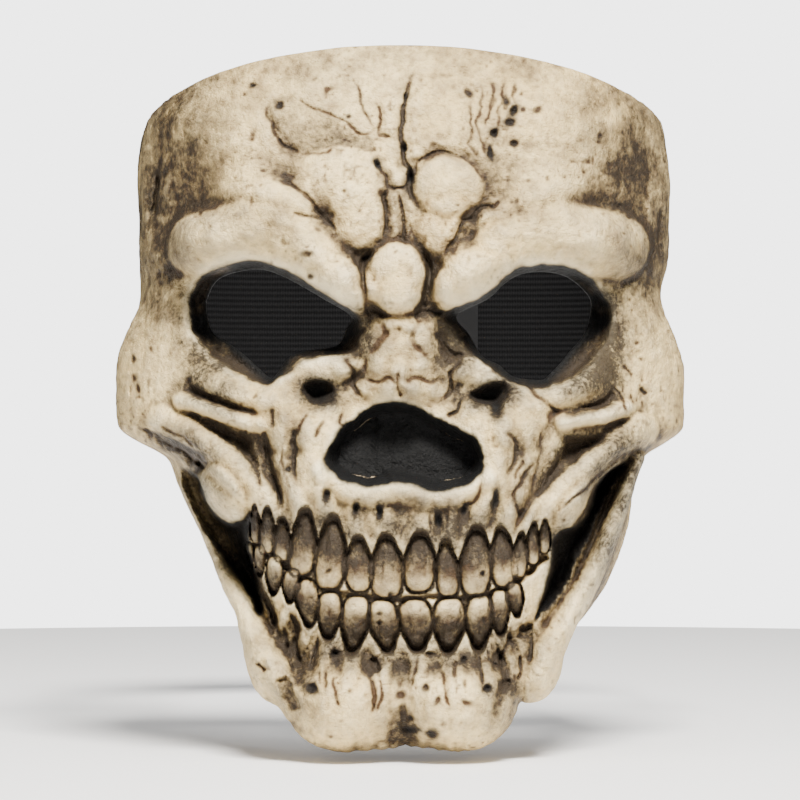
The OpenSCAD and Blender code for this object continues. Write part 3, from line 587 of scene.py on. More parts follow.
PITS = [
    (-43.7, 72.8, 0.9, 0.8, 1.0, 0, 1, 0.5), (-35.7, 66, 1.4, 1.1, 1.2, -30, 1, 0.5),
    (-46, 70, 0.7, 0.7, 0.6, 0, 0.7, 0), (-15, 62.4, 0.8, 0.7, 0.8, 0, 1, 0.3),
    (-8.2, 62.4, 0.5, 0.5, 0.5, 0, 0.8, 0), (-12, 34.5, 0.5, 0.5, 0.5, 0, 0.8, 0),
    (-24, 29, 0.7, 0.6, 0.6, 0, 0.8, 0), (-27.2, 21.6, 1.4, 0.9, 0.8, 0, 1, 0.3),
    (-26, 15.5, 0.9, 0.8, 0.8, 0, 1, 0.3), (-6.7, 48.5, 0.9, 1.5, 1.6, 35, 1, 1),
    (2.7, 45, 1.0, 2.4, 2.0, 5, 1, 1), (1.2, 53.2, 0.9, 1.4, 1.4, 0, 1, 0.8),
    (1.6, 68.3, 0.7, 1.3, 1.2, 0, 1, 0.6), (-9.6, 20.8, 1.3, 0.9, 1.2, 40, 1, 0.7),
    (20.6, 69.4, 1.1, 1.2, 1.0, 0, 0.9, 0.4), (35.7, 70, 0.6, 0.6, 0.5, 0, 0.7, 0),
    (31.2, 67.4, 1.0, 1.5, 1.2, 10, 1, 0.5), (33.4, 64.6, 1.3, 2.0, 1.6, -25, 1, 0.8),
    (32.4, 61.2, 1.7, 1.2, 1.4, 0, 1, 0.6), (36.3, 65, 0.7, 0.9, 0.8, 0, 0.9, 0.2),
    (40.6, 64.8, 1.1, 1.0, 1.0, 0, 0.9, 0.2), (28, 57.3, 1.2, 1.4, 1.4, 0, 1, 0.7),
    (33.6, 54.4, 1.2, 1.1, 1.2, 0, 1, 0.4), (26.4, 51.8, 0.9, 1.9, 1.3, 20, 1, 0.7),
    (59.3, 57.9, 0.8, 0.9, 0.8, 0, 0.9, 0.3), (43.2, 44.4, 0.7, 0.7, 0.6, 0, 0.7, 0),
    (26.9, 39.5, 0.8, 0.8, 0.6, 0, 0.7, 0), (16.7, 36, 0.4, 0.4, 0.5, 0, 0.9, 0.2),
    # holes above the upper teeth
    (-21.6, -48.3, 1.1, 1.9, 1.8, 0, 1, 0.8), (-12.9, -52, 0.9, 1.7, 1.6, 0, 1, 0.9),
    (-5.9, -53.2, 1.0, 2.1, 1.8, 0, 1, 1), (11.1, -55.3, 1.3, 2.7, 2.0, 0, 1, 1),
    (18.4, -52.7, 0.9, 1.8, 1.6, -10, 1, 0.9), (27.5, -49.4, 1.0, 3.0, 1.8, -8, 1, 0.9),
    (8.6, -56, 0.35, 2.4, 0.8, 0, 1, 0.4), (13.8, -55, 0.35, 2.2, 0.8, 0, 1, 0.4),
    (-32.4, -41, 0.9, 0.6, 0.9, 0, 1, 0.6),
    # teeth
    (-20.5, -70.5, 1.2, 0.7, 0.8, 30, 1, 0.4), (24, -71, 0.9, 0.9, 1.1, 0, 1, 0.8),
    (-2.4, -77.4, 0.6, 1.2, 1.0, 0, 1, 0.7), (-6.4, -82.6, 1.1, 0.8, 0.9, 20, 1, 0.5),
    (-6, -85.4, 1.2, 0.9, 0.9, -10, 1, 0.5), (10.9, -84.4, 0.9, 1.8, 1.0, -20, 1, 0.6),
    (24.4, -84.6, 0.7, 1.4, 0.9, 0, 1, 0.6), (17.4, -83, 0.4, 2.6, 0.7, 0, 1, 0.4),
    # chin
    (2.9, -112.8, 1.1, 0.9, 0.9, 0, 1, 0.4), (2.9, -116.4, 2.0, 1.3, 0.9, 0, 1, 0.9),
    (9.2, -117, 1.8, 1.2, 0.9, 0, 1, 0.7), (7.3, -103.4, 1.2, 1.2, 1.1, 0, 1, 0.4),
    (11, -106.9, 0.8, 1.0, 0.9, 0, 1, 0.2), (0, -105.6, 1.5, 1.3, 0.9, 0, 0.9, 0.1),
    (25.4, -103.9, 1.4, 1.3, 1.4, 0, 1, 0.9), (19.2, -107.7, 1.5, 0.8, 0.9, -20, 0.9, 0.1),
    (8.2, -94.5, 1.1, 0.7, 0.8, 0, 0.9, 0.1), (18.7, -95.8, 1.1, 1.1, 1.2, 0, 1, 0.7),
    (-18.6, -93.9, 1.2, 1.1, 1.2, 0, 1, 0.7), (-18, -96.5, 0.7, 1.3, 0.8, 0, 1, 0.3),
    (-25.4, -103.9, 1.5, 1.3, 1.4, 0, 1, 0.8), (-12, -101, 0.6, 0.5, 0.5, 0, 0.9, 0),
    (-14.5, -104.5, 0.9, 0.7, 0.6, 0, 0.7, 0), (12.4, -114, 0.9, 0.8, 0.5, 0, 0.6, 0),
    (-17, -113, 0.6, 0.6, 0.4, 0, 0.7, 0), (-20, -118, 0.8, 0.5, 0.4, 0, 0.7, 0),
    # cheeks
    (-62.5, -14.5, 1.0, 1.0, 1.0, 0, 1, 0.4), (-80, -8, 0.8, 1.4, 0.7, 0, 0.8, 0.2),
    (-79.5, -14, 0.9, 1.1, 0.7, 0, 0.8, 0.2), (-78.5, -17, 0.7, 1.4, 0.7, 0, 0.8, 0.2),
    (-74, -5, 0.5, 0.9, 0.5, 30, 0.7, 0), (70.4, -4, 0.8, 0.5, 0.6, 0, 0.8, 0),
    (71.6, -8.6, 0.9, 0.5, 0.7, 0, 0.8, 0.1),
]
for values in PITS:
    pit(*values)

# ---- Eye holes and breathing holes

EYE_HOLE_LEFT = [(-57.6, 9.4), (-53.6, 15.6), (-42.8, 18.0), (-34.4, 15.8), (-22.3, 9.0), (-14.6, 4.2),
                 (-15.8, 0.5), (-18.8, -4.6), (-28.2, -6.1), (-33.4, -8.6), (-36.4, -13), (-38.7, -13.8),
                 (-45.2, -8), (-50.6, -3.9), (-55.4, -0.8), (-57.4, 4.2)]
EYE_HOLE_RIGHT = [(16.8, 4.2), (25.9, 9.1), (31, 13.8), (36.2, 16.6), (43.3, 17.2), (49.7, 15.8),
                  (55, 11.8), (57, 8.4), (56.2, 2.6), (54, -2.1), (50.6, -5.9), (47.4, -9.8),
                  (43.8, -13.4), (41.6, -14.6), (33.7, -13.8), (29.3, -10.3), (24.3, -7.7), (20.3, -1.2)]
everywhere = (slice(None), slice(None))
eye_left = outline_distance(curve(EYE_HOLE_LEFT, closed=True), everywhere)
eye_right = outline_distance(curve(EYE_HOLE_RIGHT, closed=True), everywhere)
eye_gap = np.minimum(eye_left, eye_right)

# ---------------------------------------------------------------- automatic paint, painted shade and highlight, and bone texture

AIRBRUSH = [
    # x, z, half width, half height, grey-black, brown wash; darkest in the recesses, partly the mask's
    # airbrush and partly painted shade
    (-78, 38, 15, 34, 0.26, 0.45), (80, 36, 14, 34, 0.28, 0.45),
    (-66, 46, 18, 30, 0.10, 0.35), (69, 44, 17, 30, 0.12, 0.35),
    (-38, 69, 26, 16, 0.12, 0.18), (30, 62, 24, 22, 0.12, 0.22),
    (-70, 12, 8, 13, 0.25, 0.20), (73, 10, 7, 13, 0.28, 0.20),
    (-36, 32, 14, 7, 0.20, 0.25), (36, 34, 14, 7, 0.20, 0.25),
    (-61, -4, 6, 15, 0.7, 0.1), (61.5, -4, 6, 15, 0.7, 0.1),
    (-14, -5, 6, 9, 0.5, 0.2), (16, -8, 7, 9, 0.55, 0.2),
    (-51, -13, 12, 6, 0.6, 0.2), (52, -14, 12, 6, 0.6, 0.2),
    (-57, -38, 14, 10, 0.35, 0.2), (60, -40, 14, 10, 0.35, 0.2),
    (0, -58, 44, 8, 0.55, 0.45), (0, -92, 36, 7, 0.50, 0.40),
    (-12.5, -0.5, 4, 6, 0.9, 0.2), (15.5, -2.5, 5, 7, 0.9, 0.2), (0, -4, 9, 8, 0.15, 0.45),
    (0, -17, 16, 5, 0.15, 0.35), (-33, -33, 6, 14, 0.25, 0.35), (35, -36, 6, 14, 0.25, 0.35),
    (0, -50, 18, 6, 0.10, 0.35),
    (1, -116, 7, 12, 0.25, 0.35), (-31, -106, 7, 12, 0.35, 0.3), (31, -106, 7, 12, 0.35, 0.3),
    (-66, -60, 12, 24, 0.45, 0.2), (68, -60, 12, 28, 0.50, 0.25),
    (0, 84, 70, 9, 0.05, 0.30), (-72, 66, 16, 20, 0.35, 0.3), (72, 66, 16, 20, 0.30, 0.3),
]
# Airbrush clouds laid over the maps: paint, and painted shade in the recesses
for x, z, rx, rz, airbrush_and_shade_amount, brown in AIRBRUSH:
    part = window([(x, z)], 1.6 * max(rx, rz))
    q = np.hypot((GX[part] - x) / rx, (GZ[part] - z) / rz) / 1.5
    cloud = 0.8 + 0.45 * fractal(GX[part], GZ[part], 7, 4, 71)
    soft = np.clip(rounded(q, 1.2) * cloud, 0, 1)
    airbrush_and_shade[part] += np.minimum(1.35 * airbrush_and_shade_amount, 0.95) * soft * (1 - airbrush_and_shade[part])
    wash_and_shade[part] += brown * soft * (1 - wash_and_shade[part])

# Dark rims of the eye holes, which spread widest above and beside them: black paint round the holes, and
# painted shade under the brows
rim_shade = np.clip(0.85 + 0.5 * fractal(GX, GZ, 6, 3, 83), 0, 1)
sunken = smooth_step((1.5 - rise) / 5)
spill = 4 + 4.5 * smooth_step((GZ + 5) / 8)
paint(airbrush_and_shade, everywhere, 1.0, smooth_step((spill + 4 - eye_gap) / 6.0) * rim_shade * sunken)
patchy = np.clip(1.6 * rim_shade - 0.2, 0, 1)
paint(black, everywhere, 1.0, smooth_step((spill - eye_gap) / 3.5) * sunken * patchy)
paint(black, everywhere, 1.0, smooth_step((1.2 - eye_gap) / 0.8))

# Bone texture: lumps, grain and fine upright striations
lumps = fractal(GX, GZ, 11, 4, 101)
grain = fractal(GX, GZ, 1.6, 2, 131)
strings = fractal(GX * 2.2 + 2 * lumps, GZ * 0.28, 3.4, 3, 151)
string_area = smooth_step((-18 - GZ) / 18) + smooth_step((np.abs(GX) - 56) / 14)
bare = 1 - np.clip(black, 0, 1)
rise += bare * (0.38 * lumps + 0.24 * grain + 0.22 * np.clip(string_area, 0.12, 1) * strings)
rise += black * 0.35 * fractal(GX, GZ, 4, 3, 171)
for seed, size, depth, share in ((191, 1.5, 0.45, 0.60), (197, 3.1, 0.6, 0.66), (199, 0.95, 0.30, 0.42)):
    specks = lattice_noise(GX / size, GZ / size, seed)
    specks = smooth_step((specks - share) / (1 - share)) * np.clip(0.6 + lumps, 0, 1)
    rise -= depth * specks * bare
    paint(wash_and_shade, everywhere, 0.7, specks)

# Painted shade: the wash darkens the relief's fine creases (partly the mask's brown wash) and broad
# hollows, and the grey-black darkens the broad hollows
hollows = np.clip(0.9 * (blur(rise, 0.9) - rise), 0, 1)
valleys = np.clip(0.30 * (blur(rise, 4) - rise) + 0.09 * (blur(rise, 10) - rise), 0, 1)
wash_and_shade = np.clip(wash_and_shade + 0.9 * hollows + 0.75 * valleys, 0, 1)
airbrush_and_shade = np.clip(airbrush_and_shade + 0.75 * valleys, 0, 1)
# Lighter ivory on the raised bumps: partly rubbed paint, partly painted highlight
worn_and_highlight = np.clip(0.5 * (rise - blur(rise, 1.8)), 0, 1)


def lowest_near(field, reach):
    """The lowest value within reach mm, along x and z."""
    cells = int(reach / MAP_STEP)
    for axis in (0, 1):
        for shift in range(1, cells + 1, 2):
            for way in (-shift, shift):
                field = np.minimum(field, np.roll(field, way, axis=axis))
    return field


# The cavity follows the relief smoothly, and stays a wall's thickness away from steep steps
inner_rise = blur(lowest_near(blur(rise, 0.6), 2.7), 2.0)

# ---------------------------------------------------------------- the latex shell, as a volume
# Every field is a distance in mm to a surface, negative inside it.

VOXEL = 0.5
WALL = 3.0
LEAST_WALL = 1.8
RIVET = (0.0, 6.0)           # y and z of the rivets' axis
RIVET_HOLE_R = 2.1
REAR_Y = 14.0
RIM_TOP_Z = 85.0             # the rim at the forehead
RIM_DROP = 45.0              # how much lower it is behind the temples
HEM_LOW_Z = -125.0           # the lower edge below the chin
HEM_CLIMB = 104.0            # how much higher it is behind the temples
HEM_FRONT_Y = -88.0          # the chin is closed below, in front of this
CHIN_FLOOR_Z = -117.5        # height of the chin's closed underside
CHIN_REAR_Y = -84.0          # the chin's cup ends here
SIDE_SHARE = 0.88            # share of the half turn at y = 0, where the side walls turn straight
CHEEK_FLARE = 10.0           # how far the cheek plates stand out
TEMPLE_FLARE_LEFT = 2.2      # and the temples
TEMPLE_FLARE_RIGHT = 4.6
HALF_TURN_ARC = 150.0        # length of half the face's outline, seen from above

# Half width of the face, left and right, and its depth, at heights z
HALF_WIDTH = [(-124, 22, 22), (-120, 27, 27), (-114, 34, 34), (-108, 40, 41), (-100, 43.5, 47),
              (-90, 48, 55), (-80, 53.5, 62.5), (-72, 57.5, 66.5), (-60, 62.5, 70.5), (-46, 69, 72.5),
              (-39, 71, 74.5),
              (-34, 77, 78.5), (-28, 79, 79), (30, 79, 79), (48, 79.8, 79.8), (62, 78, 78),
              (74, 74, 74), (86, 69, 69)]
DEPTH = [(-124, 92), (-119, 98), (-110, 102), (-100, 101), (-85, 105), (-60, 108), (-40, 106),
         (-15, 100), (0, 97), (20, 100), (42, 99), (62, 93), (76, 85), (86, 77)]

# Breathing holes, which climb steeply into the mask: x, z, half of the slot's length, radius
NOSTRILS = [(-10.5, -39.5, 1.6, 2.4), (15.5, -39.5, 1.8, 1.9)]

# Round lobes of the chin and the jaw corners: centre and radii
LOBES = [
    (-10.5, -95, -107.4, 13, 17, 15.4),
    (-19.5, -95, -107.2, 14, 17, 15.2),
    (11, -95, -107.2, 13, 17, 15.4),
    (20.5, -95, -107, 14, 17, 15.2),
    (0.5, -95, -106.5, 11, 15, 15),
    (-36.5, -80, -98, 7.5, 15, 11),
    (38.5, -80, -97, 7.5, 15, 12),
]


def table_at(table, column, z):
    """A column of a table against height, with its corners rounded off."""
    heights = [row[0] for row in table]
    values = [row[column] for row in table]
    steps = np.linspace(-3, 3, 9)
    return np.mean([np.interp(z + step, heights, values) for step in steps], axis=0)


def smooth_max(a, b, k):
    return np.maximum(a, b) + np.maximum(k - np.abs(a - b), 0) ** 2 / (4 * k)


def smooth_min(a, b, k):
    return np.minimum(a, b) - np.maximum(k - np.abs(a - b), 0) ** 2 / (4 * k)


def lobe_field(x, y, z, lobe):
    cx, cy, cz, rx, ry, rz = lobe
    dx, dy, dz = (x - cx) / rx, (y - cy) / ry, (z - cz) / rz
    k0 = np.sqrt(dx**2 + dy**2 + dz**2) + 1e-6
    k1 = np.sqrt((dx / rx) ** 2 + (dy / ry) ** 2 + (dz / rz) ** 2) + 1e-6
    return np.where(k0 < 0.2, -0.8 * min(rx, ry, rz), k0 * (k0 - 1) / k1)


def sample(layer, x, z):
    """Values of a map at points (x, z)."""
    fx = np.clip((np.asarray(x) - MAP_X[0]) / MAP_STEP, 0, len(MAP_X) - 1.001)
    fz = np.clip((np.asarray(z) - MAP_Z[0]) / MAP_STEP, 0, len(MAP_Z) - 1.001)
    ix = fx.astype(int)
    iz = fz.astype(int)
    fx = fx - ix
    fz = fz - iz
    low = layer[ix, iz] * (1 - fx) + layer[ix + 1, iz] * fx
    high = layer[ix, iz + 1] * (1 - fx) + layer[ix + 1, iz + 1] * fx
    return low * (1 - fz) + high * fz


def side_texture(y, z, seed):
    """Relief of a side wall, seen from the side."""
    y, z = np.broadcast_arrays(y, z)
    lump = 0.45 * fractal(y, z, 14, 4, seed)
    string = 0.22 * fractal(y * 1.6, z * 0.35, 3.2, 3, seed + 7)
    away_from_rivet = smooth_step((np.hypot(y - RIVET[0], z - RIVET[1]) - 7) / 8)
    return (lump + string) * away_from_rivet


def front_part(facing):
    """1 where the relief seen from the front shapes the surface, 0 on the side walls."""
    return smooth_step((facing - 0.06) / 0.3)


def face_fields(x, y, z):
    """Outer surface, cavity, share of the half turn, and how far the base faces the front."""
    half = np.where(x < 0, table_at(HALF_WIDTH, 1, z), table_at(HALF_WIDTH, 2, z))
    deep = table_at(DEPTH, 1, z)
    flare_up = np.maximum(0, 1 - ((z + 14) / 32) ** 2) ** 2
    flare_down = smooth_step((z + 39) / 11)
    flare = CHEEK_FLARE * np.maximum(0, 1 - ((y + 50) / 40) ** 2) ** 2
    flare = flare * np.where(z > -14, flare_up, flare_down)
    temple = (np.maximum(0, 1 - ((y + 42) / 36) ** 2) * smooth_step((z - 4) / 20)
              * smooth_step((80 - z) / 16))
    flare = flare + np.where(x < 0, TEMPLE_FLARE_LEFT, TEMPLE_FLARE_RIGHT) * temple
    a = np.maximum(np.abs(x) - flare, 0) / half
    b = np.maximum(-y, 0) / deep
    slope = np.sqrt((a * a / half) ** 2 + (b * b / deep) ** 2) + 1e-7
    g = np.cbrt(a**3 + b**3)
    base = np.where(g < 0.1, -40, (g - 1) * g * g / slope)
    facing = (b * b / deep) / slope
    turn = np.arctan2(a, b) / (math.pi / 2)
    share = np.where(y < 0, SIDE_SHARE * turn, SIDE_SHARE + (1 - SIDE_SHARE) * y / REAR_Y)
    if z.min() < -70:
        base = smooth_max(base, CHIN_FLOOR_Z - z, 8)
        for lobe in LOBES:
            base = smooth_min(base, lobe_field(x, y, z, lobe), 7)
    front = front_part(facing)
    column_x = np.broadcast_to(x, (x.shape[0], 1, z.shape[2]))
    column_z = np.broadcast_to(z, column_x.shape)
    relief = sample(rise, column_x, column_z)
    inner_relief = sample(inner_rise, column_x, column_z)
    side = np.where(x < 0, side_texture(y, z, 211), side_texture(y, z, 223))
    outer = base - front * relief - (1 - front) * side
    cavity = np.maximum(base - front * inner_relief + WALL, outer + LEAST_WALL)
    return outer, cavity, share, facing


def shell_field(x, y, z, outer, cavity, share):
    column_x = np.broadcast_to(x, (x.shape[0], 1, z.shape[2]))
    column_z = np.broadcast_to(z, column_x.shape)
    shell = smooth_max(outer, -cavity, 0.8)
    ragged = 0.35 * lattice_noise(share * 14, 0 * share + 0.5, 241)
    rim = RIM_TOP_Z - RIM_DROP * share**2 + ragged
    shell = smooth_max(shell, z - rim, 1.2)
    hem = HEM_LOW_Z + HEM_CLIMB * smooth_step((share - 0.36) / 0.64)
    shell = smooth_max(shell, np.minimum(hem + ragged - z, 0.8 * (y - HEM_FRONT_Y)), 1.2)
    chin_rear = CHIN_REAR_Y + 100 * smooth_step((z + 111) / 14)
    shell = smooth_max(shell, y - np.minimum(chin_rear, REAR_Y), 1.2)
    shell = smooth_max(shell, -sample(eye_gap, column_x, column_z), 0.9)
    if z.min() < -24 and z.max() > -56:
        for hole_x, hole_z, half, radius in NOSTRILS:
            up = 0.8 * (z - hole_z) - 2.4 * (y + 98)    # the hole's axis climbs steeply
            hole = np.hypot(np.maximum(np.abs(x - hole_x) - half, 0), up) - radius
            shell = np.where(np.abs(y + 93) < 9, smooth_max(shell, -hole, 0.9), shell)
    rivet_hole = RIVET_HOLE_R - np.hypot(y - RIVET[0], z - RIVET[1]) + 0 * x
    return np.where(np.abs(x) > 60, np.maximum(shell, rivet_hole), shell)


def pad_field(low, high, pads_share, cavity, share, z, thick, extra=None):
    """A foam pad on the cavity's wall: between two heights, over a range of the turn, with a flat
    back where extra is given."""
    middle = (pads_share[0] + pads_share[1]) / 2
    reach = (pads_share[1] - pads_share[0]) / 2
    across = (np.abs(share - middle) - reach) * HALF_TURN_ARC
    up = np.abs(z - (low + high) / 2) - (high - low) / 2
    edge = smooth_max(across, up, 5)
    crown = thick - 3.5 * smooth_step(1 + edge / 14) ** 2
    field = smooth_max(edge, -cavity - crown, 5)
    field = smooth_max(field, cavity + 0.25, 1.5)
    return field if extra is None else smooth_max(field, extra, 4)


X_LINE = np.arange(-92, 92.01, VOXEL, dtype=np.float32)
Y_LINE = np.arange(-128, 17, VOXEL, dtype=np.float32)
Z_LINE = np.arange(-127, 88, VOXEL, dtype=np.float32)
FIELDS = ("shell", "forehead_pad", "cheek_pad_left", "cheek_pad_right", "chin_pad")
volumes = {
    name: np.full((len(X_LINE), len(Y_LINE), len(Z_LINE)), 3, np.float32) for name in FIELDS
}
SLAB = 16
for start in range(0, len(Z_LINE), SLAB):
    slab = slice(start, start + SLAB)
    x = X_LINE[:, None, None]
    y = Y_LINE[None, :, None]
    z = Z_LINE[None, None, slab]
    outer, cavity, share, _ = face_fields(x, y, z)
    volumes["shell"][:, :, slab] = shell_field(x, y, z, outer, cavity, share)
    top, bottom = float(z.max()), float(z.min())
    if top > 38 and bottom < 72:
        behind = y + 80.0
        volumes["forehead_pad"][:, :, slab] = pad_field(
            42, 68, (-0.36, 0.36), cavity, share, z, 30, behind + 0 * x)
    if top > -54 and bottom < -18:
        pad = pad_field(-50, -22, (0.48, 0.68), cavity, share, z, 10.5)
        volumes["cheek_pad_left"][:, :, slab] = np.where(x < 0, pad, 3)
        volumes["cheek_pad_right"][:, :, slab] = np.where(x > 0, pad, 3)
    if top > -120 and bottom < -90:
        volumes["chin_pad"][:, :, slab] = pad_field(
            -116, -94, (-0.24, 0.24), cavity, share, z, 10.5, y + 77.0 + 0 * x)


def mesh_from_arrays(name, points, faces):
    """A mesh object from vertex places in mm and an array of quads or triangles."""
    mesh = bpy.data.meshes.new(name)
    corners = faces.shape[1]
    mesh.vertices.add(len(points))
    mesh.vertices.foreach_set("co", (points * MM).astype(np.float32).ravel())
    mesh.loops.add(faces.size)
    mesh.loops.foreach_set("vertex_index", faces.astype(np.int32).ravel())
    mesh.polygons.add(len(faces))
    mesh.polygons.foreach_set("loop_start", np.arange(0, faces.size, corners, dtype=np.int32))
    mesh.update(calc_edges=True)
    mesh.polygons.foreach_set("use_smooth", np.ones(len(faces), bool))
    obj = bpy.data.objects.new(name, mesh)
    bpy.context.collection.objects.link(obj)
    return obj


def mesh_volume(name, field):
    """Meshes the surface of a field where it is zero."""
    grid = openvdb.FloatGrid(3.0)
    grid.copyFromArray(np.clip(field, -3, 3))
    points, _, quads = grid.convertToPolygons(isovalue=0.0, adaptivity=0.0)
    points = points * VOXEL + np.array([X_LINE[0], Y_LINE[0], Z_LINE[0]])
    return mesh_from_arrays(name, points, quads[:, ::-1]), points


def add_attribute(obj, name, values):
    attribute = obj.data.attributes.new(name, "FLOAT", "POINT")
    attribute.data.foreach_set("value", np.asarray(values, np.float32))


shell, shell_points = mesh_volume("latex_face", volumes["shell"])


def side_paint(y, z, seed):
    """Brown wash and grey-black of a side wall, the grey darkest at the temples."""
    cloud = fractal(y, z, 16, 4, seed)
    streaks = fractal(y * 1.8, z * 0.4, 3, 3, seed + 5)
    specks = lattice_noise(y / 1.3, z / 1.3, seed + 9)
    brown = 0.36 + 0.25 * cloud + 0.22 * streaks + 0.8 * smooth_step((specks - 0.7) / 0.2)
    temple = smooth_step((z - 6) / 18) * smooth_step((82 - z) / 12)
    grey = 0.08 + 0.38 * temple + 0.22 * cloud + 0.12 * streaks
    return np.clip(brown, 0, 1), np.clip(grey, 0, 1)


def paint_shell(obj, points):
    """Stores the paint at the shell's vertices: brown wash, grey-black airbrush, black, lighter rubbed
    ridges and bare latex inside; the wash and grey also hold painted shade in the hollows, and the ridges
    painted highlight.
    """
    layers = {name: np.zeros(len(points)) for name in ("wash_and_shade", "airbrush_and_shade", "black", "worn_and_highlight", "inside")}
    for start in range(0, len(points), 100000):
        part = slice(start, start + 100000)
        x, y, z = (points[part, k].astype(float).reshape(-1, 1, 1) for k in range(3))
        outer, _, _, facing = face_fields(x, y, z)
        x, y, z, outer, facing = (v.ravel() for v in (x, y, z, outer, facing))
        front = front_part(facing)
        brown, grey = side_paint(y, z, 307)
        layers["wash_and_shade"][part] = front * sample(wash_and_shade, x, z) + (1 - front) * brown
        layers["airbrush_and_shade"][part] = front * sample(airbrush_and_shade, x, z) + (1 - front) * grey
        layers["black"][part] = front * sample(black, x, z)
        layers["worn_and_highlight"][part] = front * sample(worn_and_highlight, x, z)
        at_eye = 1 - smooth_step((sample(eye_gap, x, z) - 1.0) / 2.0)
        in_hole = layers["black"][part] * smooth_step((outer + 2.8) / 0.5)
        layers["inside"][part] = smooth_step((-outer - 0.9) / 1.2) * (1 - at_eye) * (1 - in_hole)
    for name, values in layers.items():
        add_attribute(obj, name, np.clip(values, 0, 1))


paint_shell(shell, shell_points)
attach(shell, "mask")
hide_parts("face_shell")

PAD_NODES = ("forehead_pad", "cheek_pad_left", "cheek_pad_right", "chin_pad")
foam_pads = []
for name in PAD_NODES:
    pad, _ = mesh_volume(name + "_foam", volumes[name])
    smooth = pad.modifiers.new("smooth", "SMOOTH")
    smooth.factor = 0.5
    smooth.iterations = 3
    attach(pad, "mask")
    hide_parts(name)
    foam_pads.append(pad)
volumes.clear()

# ---------------------------------------------------------------- the strap, woven elastic
# The routes repeat part.scad's, seen from above, in mm.

STRAP_Z = 6.0
STRAP_W = 50.0
STRAP_T = 1.6
ELASTIC_X = 72.1
STRAP_BACK_Y = 108.0
STRAP_FLAT_X = 34.0
CORNER_R = ELASTIC_X - STRAP_FLAT_X
CORNER_Y = STRAP_BACK_Y - CORNER_R
SIDE_START_Y = 24.0
FOLD_R = 2.5
RING_X = -8.0
BAR_X = 4.0
RIB_PITCH = 1.9
THREAD_STEP = 0.45


def corner_route(side, step, start, end, count):
    angles = np.radians(np.linspace(start, end, count))
    r = CORNER_R + step
    return [(side * (STRAP_FLAT_X + r * math.cos(a)), CORNER_Y + r * math.sin(a)) for a in angles]


def fold_route(x, side):
    angles = np.radians(np.linspace(-90, 90, 15))
    centre = STRAP_BACK_Y + FOLD_R
    return [(x + side * FOLD_R * math.cos(a), centre + FOLD_R * math.sin(a)) for a in angles]


ROUTES = {
    "elastic_left": [(-ELASTIC_X, SIDE_START_Y)] + corner_route(-1, 0, 0, 90, 40)
    + fold_route(RING_X - BAR_X, 1) + corner_route(-1, STRAP_T + 0.2, 84, 58, 14),
    "elastic_right": [(ELASTIC_X, SIDE_START_Y)] + corner_route(1, 0, 0, 90, 40)
    + fold_route(RING_X + BAR_X, -1) + [(RING_X + BAR_X + 9, STRAP_BACK_Y + STRAP_T + 1)]
    + corner_route(1, STRAP_T + 1, 90, 62, 16),
}


def evenly(route, step):
    """Points a step apart along a route, and the distance to each."""
    route = np.array(route)
    gaps = np.hypot(*np.diff(route, axis=0).T)
    travel = np.concatenate([[0], np.cumsum(gaps)])
    count = int(travel[-1] / step) + 1
    where = np.linspace(0, travel[-1], count)
    return np.stack([np.interp(where, travel, route[:, k]) for k in (0, 1)], axis=1), where


def sides_of(path):
    """Unit normals of a path, to its left."""
    d = np.gradient(path, axis=0)
    d /= np.hypot(*d.T)[:, None]
    return np.stack([-d[:, 1], d[:, 0]], axis=1)


def ribbon_section():
    """Half thickness over the width of the elastic: fine ribs along it and rounded edges."""
    across = np.arange(-STRAP_W / 2, STRAP_W / 2 + 0.01, RIB_PITCH / 5)
    across = across * (STRAP_W / 2) / across.max()
    rib = 0.09 * np.cos(across / RIB_PITCH * 2 * math.pi)
    edge = np.sqrt(np.clip(1 - ((np.abs(across) - (STRAP_W / 2 - 0.8)) / 0.8).clip(0) ** 2, 0, 1))
    return across, (STRAP_T / 2 - 0.1 + rib) * np.clip(edge, 0.1, 1)


def make_elastic(node):
    path, travel = evenly(ROUTES[node], 0.8)
    normal = sides_of(path)
    across, half = ribbon_section()
    ring_across = np.concatenate([across, across[::-1]])
    ring_half = np.concatenate([half, -half[::-1]])
    n, m = len(path), len(ring_across)
    wave = 1 + 0.02 * np.cos(travel / THREAD_STEP * math.pi / 2)
    points = np.zeros((n, m, 3))
    points[..., :2] = path[:, None] + normal[:, None] * (ring_half * wave[:, None])[..., None]
    curl = 0.10 * fractal(travel, travel * 0, 22, 2, 401)
    points[..., 2] = STRAP_Z + ring_across + curl[:, None] * 2 * np.abs(ring_across) / STRAP_W
    index = np.arange(n * m).reshape(n, m)
    right = np.roll(index, -1, axis=1)
    quads = np.stack([index[:-1], right[:-1], right[1:], index[1:]], axis=-1).reshape(-1, 4)
    obj = mesh_from_arrays(node + "_woven", points.reshape(-1, 3), quads)
    cap_ends(obj, m)
    add_attribute(obj, "along", np.repeat(travel, m))
    add_attribute(obj, "across", np.tile(ring_across, n))
    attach(obj, "strap")
    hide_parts(node)
    return obj


def cap_ends(obj, m):
    """Closes the two ends of a tube whose rings have m points."""
    edit = bmesh.new()
    edit.from_mesh(obj.data)
    edit.verts.ensure_lookup_table()
    total = len(edit.verts)
    edit.faces.new([edit.verts[k] for k in range(m)][::-1])
    edit.faces.new([edit.verts[k] for k in range(total - m, total)])
    bmesh.ops.recalc_face_normals(edit, faces=edit.faces)
    edit.to_mesh(obj.data)
    edit.free()


